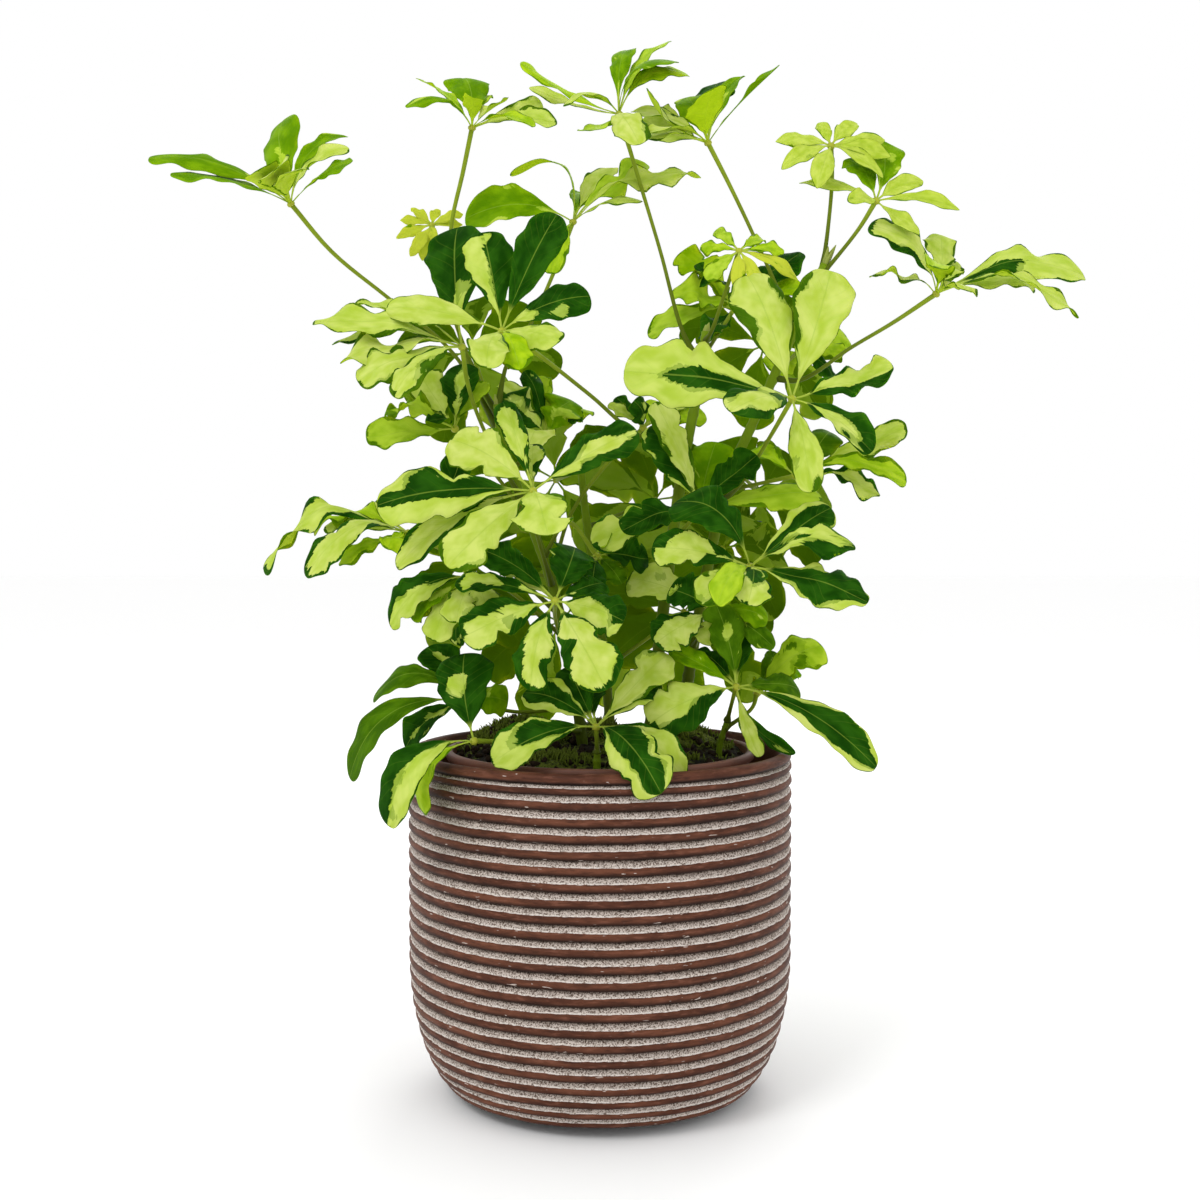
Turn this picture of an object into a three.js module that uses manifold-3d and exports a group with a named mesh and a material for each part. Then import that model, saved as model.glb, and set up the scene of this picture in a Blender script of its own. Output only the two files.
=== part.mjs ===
import * as THREE from 'three';
import { mergeVertices } from 'three/addons/utils/BufferGeometryUtils.js';
import Module from 'manifold-3d';

// An umbrella plant with variegated leaves, standing in its nursery pot inside a ribbed brown cover pot.
// Millimetres, +Z up, the origin at the centre of the cover pot's base.

const wasm = await Module();
wasm.setup();

// The cover pot
const potRadius = 95;
const footRadius = 65;
const bellyHeight = 70;
const rimHeight = 167.5;
const rimRoll = 3;
const potWall = 6.5;
const potFloor = 8;
const ribPitch = 7.31;
const ribCount = 22;
const highGroove = 165.3;
const secondGroove = 159.5;
const ribDepth = 1.9;
const ribSwell = 0.25;
const ribCrestAt = 0.6;
const ribFootAt = 0.8;
const potSides = 24;
const facetAllowance = (1 + 1 / Math.cos(Math.PI / potSides)) / 2;
const rimStart = -0.5;
const rimSteps = 4;
const innerShoulderDrop = 6;
const innerBendRadius = 79;
const innerBendHeight = 26;
const innerFootRadius = 63;

// The nursery pot and its soil
const nurseryTopRadius = 75;
const nurseryFootRadius = 58;
const nurseryTop = 170;
const nurseryLip = 1.5;
const nurseryLipHeight = 5;
const nurseryLipSlope = 1;
const nurseryWall = 1.6;
const nurserySides = 18;
const soilEdgeDrop = 4;
const soilRise = 4.5;
const soilRings = [0, 14, 30, 46, 62];
const soilMounds = [
  [-42, 28, 30, 13], [22, -34, 20, 3], [44, 24, 26, 9], [2, 32, 22, 8], [-20, -44, 18, 2.5],
];
const moundSteepness = 2;
const soilRipple = { height: 0.8, alongX: 0.21, alongY: 0.17, startX: 1.3, startY: 0.6 };
const soilShoulder = 2;
const soilClearance = 0.7;

// Clearances
const gap = 0.3;
const guardGap = 0.4;
const stemFlatsAllowance = 1.2;
const budFlatsAllowance = 1.4;

// The plant
const stemSides = 5;
const budSwell = 1.2;
const petioleSides = 3;
const petioleSteps = 5;
const petioleRadius = 1.6;
const hubRadius = 3.4;
const ribHalf = 0.7;
const stalkHalf = 0.5;
const rootSink = 1;
const stalkShare = 0.14;
const bladeRise = 0.9;
const bladeFall = 0.42;
const bladePeak = 0.438;
const wideBlade = 21;
const wideBladeRings = [0, 0.16, 0.5, 0.86];
const narrowBladeRings = [0, 0.18, 0.8];
const waveTurns = 1.6;
const otherEdgeLag = 2;
const phaseStep = 1.7;
const usualArch = 0.1;
const usualWave = 0.8;
const bendSteps = [0, 6, -6, 12, -12, 18, -18, 26, -26];
const shortSteps = [1, 0.8, 0.62];

// Places read by eye off a 1200 x 1200 picture taken by this eye, which looks along +Y and a little down
const eye = { distance: 800, height: 278, pitch: 0.043, focal: 1608, centre: 600 };

function seen([u, v, y]) {
  const across = (u - eye.centre) / eye.focal;
  const down = (v - eye.centre) / eye.focal;
  const cos = Math.cos(eye.pitch);
  const sin = Math.sin(eye.pitch);
  const away = y + eye.distance;
  const z = eye.height - away * (down * cos + sin) / (cos - down * sin);
  const depth = away * cos + (eye.height - z) * sin;
  return new THREE.Vector3(across * depth, y, z);
}

// Woody stems from under the soil to their tips, each point a pixel across, a pixel down and a depth in mm
const stems = {
  stem_centre: {
    radius: 3.2,
    points: [[650, 815, -5], [650, 740, -6], [660, 640, -8], [672, 540, -6], [684, 460, -2], [694, 410, 2],
      [702, 370, 6], [706, 332, 8]],
  },
  stem_right: {
    radius: 3.0,
    points: [[676, 815, 18], [680, 740, 18], [698, 620, 16], [718, 520, 12], [734, 465, 8], [752, 425, 6],
      [771, 383, 4], [797, 325, 2], [825, 264, -2]],
  },
  stem_left: {
    radius: 2.8,
    points: [[588, 815, 5], [582, 740, 5], [566, 640, 8], [549, 575, 9], [532, 527, 10], [515, 480, 10],
      [502, 440, 8], [497, 404, 6]],
  },
  stem_back: {
    radius: 2.6,
    points: [[620, 800, 38], [612, 740, 40], [603, 650, 48], [592, 560, 56], [584, 500, 60], [580, 460, 62]],
  },
  shoot_front: {
    radius: 2.2,
    points: [[598, 830, -58], [597, 790, -58], [597, 752, -59]],
  },
  shoot_right: {
    radius: 1.8,
    points: [[716, 800, -12], [720, 745, -15], [728, 718, -20]],
  },
};

// Umbrella leaves. hub and via are pixel, pixel, depth; axis is the way the umbrella opens; at is the share
// of the stem's length where the petiole joins it. A leaflet is its tip's pixel, pixel and depth from the
// hub, its width, and where they differ from the usual its arch, its twist in degrees and its waves' height.
const leaves = [
  { hub: [291, 204, 0], axis: [-0.5, -0.3, 0.8], stem: 'stem_left', at: 0.93,
    via: [[332, 252, 4], [392, 301, 12], [452, 352, 24]],
    leaflets: [[149, 158, -6, 18, 0.13, -15], [167, 171, -26, 21, 0.07, -12], [279, 118, 30, 26, 0.06],
      [257, 170, -40, 17], [274, 168, -50, 19], [297, 170, -46, 17], [345, 134, 12, 11, 0.22, 30],
      [350, 150, -12, 15, 0.2, 20], [349, 160, -30, 14, 0.05]] },
  { hub: [472, 128, 10], axis: [0.1, -0.3, 0.95], stem: 'stem_left', at: 0.97,
    via: [[463, 172, 11], [451, 228, 14], [450, 300, 24], [474, 370, 22]],
    leaflets: [[418, 79, 6, 17], [408, 103, -24, 14, 0.2], [461, 76, 34, 22], [482, 92, 36, 16],
      [504, 98, 10, 19, 0.05, -30], [474, 96, -26, 11], [543, 103, 18, 10, 0.1, 60],
      [557, 121, -4, 15, 0.1, 20], [533, 127, -24, 12, 0.15]] },
  { hub: [619, 114, 15], axis: [-0.2, -0.3, 0.93], stem: 'stem_centre', at: 0.93,
    via: [[639, 180, 14], [660, 250, 12], [684, 335, 6]],
    leaflets: [[521, 62, 6, 13, -0.05, -10], [530, 86, 26, 9, -0.05], [566, 102, -22, 13, 0.2],
      [587, 127, -36, 16, -0.06], [639, 140, -42, 17], [628, 50, 34, 13, 0.16], [668, 41, 30, 14],
      [678, 61, -8, 24, 0.28], [688, 74, 4, 14, 0.28, 30]] },
  { hub: [708, 143, 10], axis: [-0.3, -0.35, 0.88], stem: 'stem_right', at: 0.87,
    via: [[730, 186, 10], [752, 232, 12], [782, 300, 16]],
    leaflets: [[633, 110, 22, 14], [646, 89, -14, 13, -0.1], [643, 104, 2, 22, 0.05, -30],
      [643, 142, -12, 14], [648, 127, -34, 13], [688, 96, 28, 18], [712, 89, -22, 27],
      [716, 77, 26, 22, 0.05], [738, 82, 30, 15], [779, 65, 0, 14, 0.04, -20]] },
  { hub: [831, 146, -5], axis: [0.05, -0.85, 0.5], stem: 'stem_right', at: 0.99,
    via: [[832, 180, -3], [828, 228, -2]],
    leaflets: [[776, 140, -3, 12], [782, 168, -12, 12], [817, 187, -18, 14], [820, 122, 14, 10],
      [857, 123, 12, 12], [885, 140, 4, 12], [891, 157, -4, 13], [883, 177, -12, 11]] },
  { hub: [876, 201, -15], axis: [0.25, -0.75, 0.6], stem: 'stem_right', at: 0.97,
    via: [[858, 230, -10]],
    leaflets: [[799, 183, 12, 12], [848, 201, -18, 13], [850, 158, 16, 15], [884, 139, 16, 19, 0.12],
      [923, 181, 10, 14], [960, 209, -2, 11], [920, 233, -12, 12, 0]] },
  { hub: [936, 294, -10], axis: [0.4, -0.35, 0.83], stem: 'stem_right', at: 0.79,
    via: [[894, 322, -6], [852, 347, -2], [800, 380, 2]],
    leaflets: [[868, 226, -10, 20, 0.2, -30], [873, 270, 14, 16, 0.1, 0, 2], [941, 234, 28, 17],
      [937, 260, -40, 16], [956, 262, 20, 12], [968, 290, -40, 15], [1085, 273, 6, 22, 0.13, 20, 1.6],
      [1034, 284, 22, 16], [1080, 313, -14, 15, 0.19, 10, 2]] },
  { hub: [432, 225, 45], axis: [0, -0.92, 0.38], stem: 'stem_left', at: 0.9,
    via: [[446, 280, 46], [470, 372, 34]],
    leaflets: [[411, 208, 2, 7], [438, 208, 6, 7], [400, 220, 0, 7], [396, 238, -2, 8], [410, 256, -6, 9],
      [421, 259, -6, 8], [434, 243, -6, 6], [463, 213, 4, 8], [462, 222, 0, 6]] },
  { hub: [739, 251, -20], axis: [0, -0.85, 0.5], stem: 'stem_centre', at: 0.98,
    via: [[724, 296, -14], [712, 330, -4]],
    leaflets: [[716, 229, 8, 8], [700, 247, 4, 9], [764, 238, 10, 8], [784, 251, 4, 8], [706, 279, -4, 10],
      [737, 293, -10, 9], [761, 294, -10, 9], [799, 279, 0, 10]] },
  { hub: [502, 331, -45], axis: [0, -0.8, 0.58], stem: 'stem_centre', at: 0.76,
    via: [[540, 356, -34], [590, 395, -22], [640, 436, -12]],
    leaflets: [[483, 230, 8, 24, 0.08], [556, 213, 2, 21, 0.1], [590, 296, -4, 20, 0.12],
      [561, 341, -20, 17], [520, 371, -38, 15], [488, 364, -42, 19, 0.05], [386, 307, 2, 16, 0.1, -20]] },
  { hub: [462, 347, -38], axis: [-0.1, -0.75, 0.65], stem: 'stem_left', at: 0.76,
    via: [[468, 385, -26], [484, 430, -10]],
    leaflets: [[457, 226, 30, 29], [313, 318, -4, 18, 0.08, 0, 2], [354, 302, 26, 12, 0.1, 20, 2],
      [332, 341, 12, 12, 0.1, 30], [340, 362, -12, 19, 0.1, 10, 2], [358, 384, -24, 20, 0.08, 0, 1.6],
      [394, 391, -36, 15]] },
  { hub: [573, 222, 25], axis: [0, -0.45, 0.88], stem: 'stem_left', at: 0.99,
    via: [[554, 272, 20], [530, 325, 14], [507, 364, 8]],
    leaflets: [[510, 176, 12, 13, 0.46, 30], [465, 219, 0, 24, 0.2, -30], [613, 168, 30, 14],
      [646, 162, 10, 15, 0.1, 20, 2], [551, 272, -30, 13], [641, 198, -10, 15],
      [700, 178, 6, 13, 0.18, 25, 2.4], [582, 192, 38, 13]] },
  { hub: [792, 399, -45], axis: [0, -0.85, 0.5], stem: 'stem_right', at: 0.56,
    via: [[770, 437, -30], [742, 482, -10]],
    leaflets: [[624, 371, -4, 32, 0.14, -10, 1.4], [747, 274, 16, 27, 0.1], [831, 270, 14, 27, 0.1],
      [893, 366, 0, 18, -0.03, 0, 2], [873, 450, -14, 20, 0.12, -20], [812, 490, -34, 15],
      [731, 410, -42, 22]] },
  { hub: [533, 491, -70], axis: [0, -0.88, 0.46], stem: 'stem_left', at: 0.55,
    via: [[532, 515, -34]],
    leaflets: [[450, 438, 6, 24], [503, 401, 14, 13], [637, 430, 4, 20, 0.12], [377, 505, -8, 27, 0.1],
      [447, 566, -24, 22], [548, 536, -46, 25], [396, 567, 4, 15, 0.12], [533, 444, 26, 12]] },
  { hub: [555, 601, -75], axis: [0, -0.88, 0.46], stem: 'stem_left', at: 0.36,
    via: [[556, 622, -36]],
    leaflets: [[462, 638, -10, 23], [530, 688, -28, 17], [606, 688, -28, 25], [624, 622, -14, 22],
      [455, 583, 6, 12, 0.14, 20], [479, 549, 16, 17], [575, 547, 30, 22], [603, 583, 20, 14],
      [505, 558, 26, 14]] },
  { hub: [750, 567, -62], axis: [0, -0.85, 0.5], stem: 'stem_right', at: 0.42,
    via: [[728, 590, -26]],
    leaflets: [[652, 547, 0, 19], [676, 500, 10, 24, 0.34, 10], [831, 506, 6, 18],
      [855, 546, -12, 13, 0.32, 0, 2.2], [868, 602, -22, 22, 0.1, 0, 1.6], [748, 601, -42, 19],
      [703, 600, -28, 19], [716, 603, -50, 13]] },
  { hub: [596, 727, -62], axis: [0, -0.72, 0.7], stem: 'shoot_front', at: 0.99, via: [],
    leaflets: [[492, 762, -12, 21, 0.18], [524, 690, 10, 19, 0.1], [545, 684, 24, 19], [568, 666, 28, 18],
      [590, 676, 36, 16], [668, 652, 24, 20], [660, 682, 10, 14], [661, 791, -34, 25, 0.24],
      [686, 784, -26, 20, 0.24]] },
  { hub: [736, 687, -38], axis: [0, -0.8, 0.6], stem: 'shoot_right', at: 0.97, via: [],
    leaflets: [[650, 723, -22, 26, 0.1], [876, 768, -16, 18, 0.25], [669, 648, 6, 11], [713, 602, 22, 18],
      [742, 618, 18, 15], [800, 690, 22, 15], [692, 650, 26, 14], [760, 757, -2, 9, -0.06],
      [795, 754, 10, 7, -0.22]] },
  { hub: [474, 741, -62], axis: [-0.1, -0.7, 0.7], stem: 'stem_left', at: 0.2,
    via: [[505, 741, -50], [556, 730, -20]],
    leaflets: [[464, 652, 14, 27], [388, 826, -16, 23, 0.42], [421, 812, 2, 17, 0.28, 20]] },
  { hub: [408, 533, -14], axis: [-0.2, -0.7, 0.68], stem: 'stem_left', at: 0.48,
    via: [[440, 548, -8], [500, 566, 2]],
    leaflets: [[261, 560, -8, 19, 0.22, 20, 3], [314, 516, 12, 15, 0.1, 20, 2.6], [307, 579, -24, 19, 0.28],
      [357, 508, 22, 13], [319, 525, 4, 11], [388, 549, -24, 13, 0.1, 0, 2], [338, 561, -12, 12],
      [463, 443, 20, 19, -0.15]] },
  { hub: [455, 429, 0], axis: [-0.2, -0.75, 0.63], stem: 'stem_left', at: 0.72,
    via: [[482, 458, 4]],
    leaflets: [[385, 409, 10, 14, 0.18, 0, 3], [366, 438, -4, 20, 0.06], [417, 370, 14, 19],
      [431, 417, -18, 11], [462, 363, 10, 20], [484, 382, 14, 15]] },
  { hub: [735, 308, 30], axis: [0, -0.7, 0.7], stem: 'stem_centre', at: 0.95,
    via: [],
    leaflets: [[680, 254, 12, 21, 0.1, 0, 2], [694, 266, -8, 11, 0.1, 30, 2], [674, 290, -8, 20, 0.1, 0, 2],
      [647, 333, 4, 18], [802, 254, 6, 19], [804, 287, -4, 15], [704, 341, -10, 14, 0.1, 0, 2]] },
  { hub: [800, 350, 32], axis: [0.2, -0.7, 0.68], stem: 'stem_right', at: 0.8,
    via: [],
    leaflets: [[848, 334, 8, 20], [845, 353, -8, 13], [785, 320, 10, 14], [770, 372, -10, 18],
      [835, 380, 0, 14]] },
  { hub: [545, 436, 14], axis: [0, -0.75, 0.66], stem: 'stem_left', at: 0.84,
    via: [],
    leaflets: [[506, 396, -8, 24, 0.06, 0, 2], [503, 380, 12, 15], [524, 370, 22, 10], [539, 374, 26, 10],
      [570, 397, 4, 22, 0.1, 0, 2], [530, 438, -34, 22], [579, 411, 14, 13], [589, 410, 20, 13]] },
  { hub: [478, 578, -36], axis: [-0.2, -0.75, 0.63], stem: 'stem_left', at: 0.42,
    via: [[508, 590, -16]],
    leaflets: [[390, 626, -4, 20, 0.3], [410, 620, -14, 15, 0.24], [431, 637, -22, 18], [455, 645, 0, 13],
      [456, 622, -36, 17], [489, 616, -36, 15], [476, 557, -30, 14]] },
  { hub: [757, 693, -8], axis: [0.3, -0.6, 0.74], stem: 'shoot_right', at: 0.85,
    via: [[752, 708, -12]],
    leaflets: [[822, 646, 4, 22, 0.18], [775, 651, 12, 9], [759, 682, -20, 9], [797, 668, 28, 14]] },
  { hub: [700, 511, -18], axis: [0, -0.8, 0.6], stem: 'stem_centre', at: 0.56,
    via: [],
    leaflets: [[655, 423, 10, 23], [592, 541, -10, 20, 0.1, -10], [655, 404, 22, 15], [622, 531, -26, 17],
      [716, 442, 20, 20], [823, 493, 6, 19, 0.1], [787, 425, 16, 18]] },
  { hub: [597, 556, -12], axis: [0, -0.75, 0.66], stem: 'stem_left', at: 0.62,
    via: [[568, 522, -4]],
    leaflets: [[648, 560, 4, 24], [612, 530, -14, 17], [567, 574, -16, 18], [592, 601, -26, 15],
      [622, 582, -10, 13]] },
  { hub: [643, 428, 24], axis: [0, -0.7, 0.7], stem: 'stem_left', at: 0.56,
    via: [[605, 466, 30], [570, 516, 24]],
    leaflets: [[616, 397, 4, 9], [608, 405, -6, 8], [638, 402, -10, 16], [688, 400, 10, 11],
      [662, 401, 16, 14], [706, 416, 8, 14]] },
  { hub: [795, 476, 4], axis: [0.2, -0.7, 0.68], stem: 'stem_right', at: 0.58,
    via: [],
    leaflets: [[907, 427, 4, 13, 0.08, 30, 2.4], [907, 481, -4, 11, 0.4, 20, 2.4],
      [880, 492, -16, 14, 0.14, 0, 2], [832, 428, 18, 18], [742, 448, 8, 20]] },
  { hub: [712, 612, -28], axis: [0, -0.8, 0.6], stem: 'stem_right', at: 0.3,
    via: [],
    leaflets: [[655, 645, -10, 22], [670, 588, 0, 22], [628, 578, 14, 20, 0.1, -10], [715, 649, -32, 18],
      [746, 644, -18, 18], [768, 618, -4, 15, 0.2], [774, 648, -10, 12]] },
  { hub: [468, 702, -26], axis: [-0.2, -0.65, 0.73], stem: 'stem_left', at: 0.26,
    via: [[520, 712, -8]],
    leaflets: [[373, 696, 0, 15, 0.4], [348, 776, -10, 20, 0.34], [404, 747, 4, 18, 0.14],
      [507, 700, -6, 19], [427, 646, 8, 19]] },
];

// Leaves behind, which the picture does not show: the same umbrellas with evenly turned leaflets
const backLeaves = [
  { hub: [764, 346, 80], axis: [0.15, 0.8, 0.58], stem: 'stem_right', at: 0.84,
    count: 7, reach: 45, width: 24 },
  { hub: [472, 352, 62], axis: [-0.35, 0.7, 0.62], stem: 'stem_left', at: 0.8,
    count: 7, reach: 49, width: 26 },
  { hub: [556, 480, 122], axis: [-0.2, 0.8, 0.55], stem: 'stem_back', at: 0.97,
    count: 7, reach: 59, width: 30 },
  { hub: [655, 500, 112], axis: [0.15, 0.85, 0.5], stem: 'stem_back', at: 0.8,
    count: 7, reach: 57, width: 29 },
  { hub: [760, 492, 80], axis: [0.4, 0.75, 0.52], stem: 'stem_right', at: 0.62,
    count: 7, reach: 45, width: 28 },
  { hub: [722, 549, 74], axis: [0.4, 0.75, 0.52], stem: 'stem_right', at: 0.46,
    count: 7, reach: 43, width: 26 },
  { hub: [476, 560, 66], axis: [-0.6, 0.6, 0.52], stem: 'stem_back', at: 0.62,
    count: 7, reach: 55, width: 28 },
  { hub: [560, 622, 118], axis: [-0.25, 0.85, 0.46], stem: 'stem_back', at: 0.46,
    count: 7, reach: 57, width: 30 },
  { hub: [684, 612, 104], axis: [0.35, 0.8, 0.48], stem: 'stem_back', at: 0.38,
    count: 7, reach: 57, width: 29 },
];
const backDroop = 0.28;
const backTurn = 0.4;
const backUneven = 0.12;
const backUnevenStep = 5;
const backArch = 0.16;

// Geometry helpers

function solid(geometry) {
  const bare = geometry.clone();
  bare.deleteAttribute('normal');
  bare.deleteAttribute('uv');
  const merged = mergeVertices(bare, 1e-4);
  const mesh = new wasm.Mesh({
    numProp: 3,
    vertProperties: new Float32Array(merged.attributes.position.array),
    triVerts: new Uint32Array(merged.index.array),
  });
  return new wasm.Manifold(mesh);
}

function geometryOf(body) {
  const mesh = body.getMesh();
  const geometry = new THREE.BufferGeometry();
  geometry.setAttribute('position', new THREE.BufferAttribute(new Float32Array(mesh.vertProperties), 3));
  geometry.setIndex(new THREE.BufferAttribute(new Uint32Array(mesh.triVerts), 1));
  geometry.computeVertexNormals();
  return geometry;
}

function unite(bodies) {
  return bodies.reduce((whole, body) => whole.add(body));
}

function boxesMeet(a, b) {
  return [0, 1, 2].every((i) => a.min[i] <= b.max[i] && b.min[i] <= a.max[i]);
}

function meets(candidate, placed) {
  const box = candidate.boundingBox();
  return placed.some((other) => boxesMeet(box, other.box) && !candidate.intersect(other.body).isEmpty());
}

function place(placed, body, owner) {
  placed.push({ body, owner, box: body.boundingBox() });
}

function tube(points, radius, sides, steps) {
  const section = new THREE.Shape();
  for (let i = 0; i < sides; i += 1) {
    const angle = 2 * Math.PI * i / sides;
    const method = i === 0 ? 'moveTo' : 'lineTo';
    section[method](radius * Math.cos(angle), radius * Math.sin(angle));
  }
  section.closePath();
  const curve = new THREE.CatmullRomCurve3(points, false, 'centripetal');
  return new THREE.ExtrudeGeometry(section, { steps, bevelEnabled: false, extrudePath: curve });
}

// The cover pot: a lathe whose ribs are spaced evenly along its wall, the uppermost rib being narrower. Each
// swells towards its lower edge, and is undercut there

function wallRadius(z) {
  const share = Math.max(0, 1 - z / bellyHeight);
  return footRadius + (potRadius - footRadius) * Math.sqrt(1 - share * share);
}

function wallHeightBelow(z, distance) {
  const stride = 0.1;
  let low = z;
  let travelled = 0;
  while (travelled < distance) {
    travelled += Math.hypot(stride, wallRadius(low) - wallRadius(low - stride));
    low -= stride;
  }
  return low;
}

// A point off the wall by depth, square to it; the flats lie as far inside the round wall as their corners
// lie outside it
function wallPoint(z, depth) {
  const step = 0.5;
  const slope = (wallRadius(z + step) - wallRadius(z - step)) / (2 * step);
  const share = depth / Math.hypot(1, slope);
  return new THREE.Vector2((wallRadius(z) + share) * facetAllowance, z - share * slope);
}

function ribPoints() {
  const points = [wallPoint(highGroove, -ribDepth)];
  for (let rib = 0; rib <= ribCount; rib += 1) {
    const isTop = rib === 0;
    const start = isTop ? highGroove : wallHeightBelow(secondGroove, (rib - 1) * ribPitch);
    const pitch = isTop ? highGroove - secondGroove : ribPitch;
    points.push(wallPoint(wallHeightBelow(start, ribCrestAt * pitch), ribSwell));
    points.push(wallPoint(wallHeightBelow(start, ribFootAt * pitch), -ribDepth));
  }
  return points;
}

function potGeometry() {
  const innerRadius = potRadius - potWall;
  const profile = [new THREE.Vector2(0, 0), new THREE.Vector2(footRadius, 0)];
  profile.push(...ribPoints().reverse());
  const rimCentre = potRadius - rimRoll;
  for (let i = 0; i <= rimSteps; i += 1) {
    const angle = rimStart + i * (Math.PI - rimStart) / rimSteps;
    const across = rimCentre + rimRoll * Math.cos(angle);
    profile.push(new THREE.Vector2(across * facetAllowance, rimHeight + rimRoll * Math.sin(angle)));
  }
  profile.push(new THREE.Vector2(innerRadius, rimHeight - innerShoulderDrop));
  profile.push(new THREE.Vector2(innerRadius, bellyHeight));
  profile.push(new THREE.Vector2(innerBendRadius, innerBendHeight));
  profile.push(new THREE.Vector2(innerFootRadius, potFloor));
  profile.push(new THREE.Vector2(0, potFloor));
  const lathe = new THREE.LatheGeometry(profile, potSides);
  lathe.rotateX(Math.PI / 2);
  return lathe;
}

// The nursery pot, a thin cup with a turned-out lip

function nurseryRadius(z) {
  const foot = potFloor + gap;
  return nurseryFootRadius + (nurseryTopRadius - nurseryFootRadius) * (z - foot) / (nurseryTop - foot);
}

function nurseryGeometry() {
  const foot = potFloor + gap;
  const lipFoot = nurseryTop - nurseryLipHeight;
  const floor = foot + nurseryWall;
  const profile = [
    [0, foot], [nurseryFootRadius, foot], [nurseryRadius(lipFoot), lipFoot],
    [nurseryTopRadius + nurseryLip, lipFoot + nurseryLipSlope], [nurseryTopRadius + nurseryLip, nurseryTop],
    [nurseryTopRadius - nurseryWall, nurseryTop], [nurseryRadius(floor) - nurseryWall, floor], [0, floor],
  ].map(([r, z]) => new THREE.Vector2(r, z));
  const lathe = new THREE.LatheGeometry(profile, nurserySides);
  lathe.rotateX(Math.PI / 2);
  return lathe;
}

// The soil: a plug with an uneven, mossy top

function soilHeight(x, y) {
  const share = Math.hypot(x, y) / nurseryTopRadius;
  const base = nurseryTop - soilEdgeDrop + soilRise * (1 - share * share);
  const { height: tall, alongX, alongY, startX, startY } = soilRipple;
  const ripple = tall * Math.sin(alongX * x + startX) * Math.cos(alongY * y + startY);
  const mounds = soilMounds.reduce((sum, [mx, my, spread, height]) => {
    const near = Math.hypot(x - mx, y - my) / spread;
    return sum + height * Math.exp(-near * near * moundSteepness);
  }, 0);
  return base + ripple + mounds;
}

function soilGeometry() {
  const floor = potFloor + gap + nurseryWall + gap;
  const edge = nurseryTop - soilEdgeDrop;
  const footRim = nurseryRadius(floor) - nurseryWall - soilClearance;
  const topRim = nurseryRadius(edge) - nurseryWall - soilClearance;
  const profile = [[0, floor], [footRim, floor], [topRim, edge - soilShoulder]];
  soilRings.slice().reverse().forEach((r) => profile.push([r, edge]));
  const lathe = new THREE.LatheGeometry(profile.map(([r, z]) => new THREE.Vector2(r, z)), nurserySides);
  lathe.rotateX(Math.PI / 2);
  const positions = lathe.attributes.position;
  for (let i = 0; i < positions.count; i += 1) {
    if (Math.abs(positions.getZ(i) - edge) < 0.01) {
      positions.setZ(i, soilHeight(positions.getX(i), positions.getY(i)));
    }
  }
  return lathe;
}

// A leaflet: a stalk that widens into a blade, rounded at its tip, waved along its edges. Each ring of four
// points is the left edge, the rib, the right edge and the keel, and both faces are split alike.

function bladeHalf(share, width) {
  if (share <= stalkShare) {
    return stalkHalf;
  }
  const x = (share - stalkShare) / (1 - stalkShare);
  const fullness = Math.pow(x, bladeRise) * Math.pow(1 - x, bladeFall) / bladePeak;
  return Math.max(stalkHalf, width / 2 * fullness);
}

function ringShares(width, isPlain) {
  return width >= wideBlade && !isPlain ? wideBladeRings : narrowBladeRings;
}

function leafletFrame(root, tip, axis, twist) {
  const along = tip.clone().sub(root);
  const length = along.length();
  along.divideScalar(length);
  const flat = axis.clone().cross(along).normalize();
  const rise = along.clone().cross(flat);
  const cos = Math.cos(twist);
  const sin = Math.sin(twist);
  const across = flat.clone().multiplyScalar(cos).addScaledVector(rise, sin);
  const up = rise.clone().multiplyScalar(cos).addScaledVector(flat, -sin);
  return { along, across, up, length };
}

function leafletGeometry(leaflet, extra, firstRing = 0) {
  const { along, across, up, length } = leafletFrame(leaflet.root, leaflet.tip, leaflet.axis, leaflet.twist);
  const shares = ringShares(leaflet.width, leaflet.isPlain).slice(firstRing);
  const positions = [];
  const point = (share, side, height) => {
    const bump = 4 * share * (1 - share) * leaflet.arch * length;
    const spot = leaflet.root.clone().addScaledVector(along, Math.max(rootSink, share * length));
    spot.addScaledVector(across, side).addScaledVector(up, bump + height);
    positions.push(spot.x, spot.y, spot.z);
  };
  shares.forEach((share) => {
    const half = bladeHalf(share, leaflet.width) + extra;
    const swing = leaflet.wave * Math.min(1, 2 * half / leaflet.width) * (share > stalkShare ? 1 : 0);
    const turn = 2 * Math.PI * waveTurns * share + leaflet.phase;
    point(share, half, swing * Math.sin(turn));
    const thick = Math.min(half, ribHalf + extra);
    point(share, 0, thick);
    point(share, -half, swing * Math.sin(turn + otherEdgeLag));
    point(share, 0, -thick);
  });
  point(1 + extra / length, 0, 0);
  const triangles = [0, 2, 1, 0, 3, 2];
  const last = 4 * (shares.length - 1);
  for (let ring = 0; ring < last; ring += 4) {
    for (let side = 0; side < 4; side += 1) {
      const next = (side + 1) % 4;
      const isEdgeFirst = side === 0 || side === 2;
      const a = ring + side;
      const b = ring + next;
      if (isEdgeFirst) {
        triangles.push(a, b, a + 4, b, b + 4, a + 4);
      } else {
        triangles.push(a, b, b + 4, a, b + 4, a + 4);
      }
    }
  }
  for (let side = 0; side < 4; side += 1) {
    triangles.push(last + side, last + (side + 1) % 4, last + 4);
  }
  const geometry = new THREE.BufferGeometry();
  geometry.setAttribute('position', new THREE.BufferAttribute(new Float32Array(positions), 3));
  geometry.setIndex(triangles);
  return geometry;
}

// A leaflet is bent in depth, and then shortened, until it clears every other node and, past the stalk, the
// other blades of its own leaf; failing that, the first place clear of the other nodes does

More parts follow.
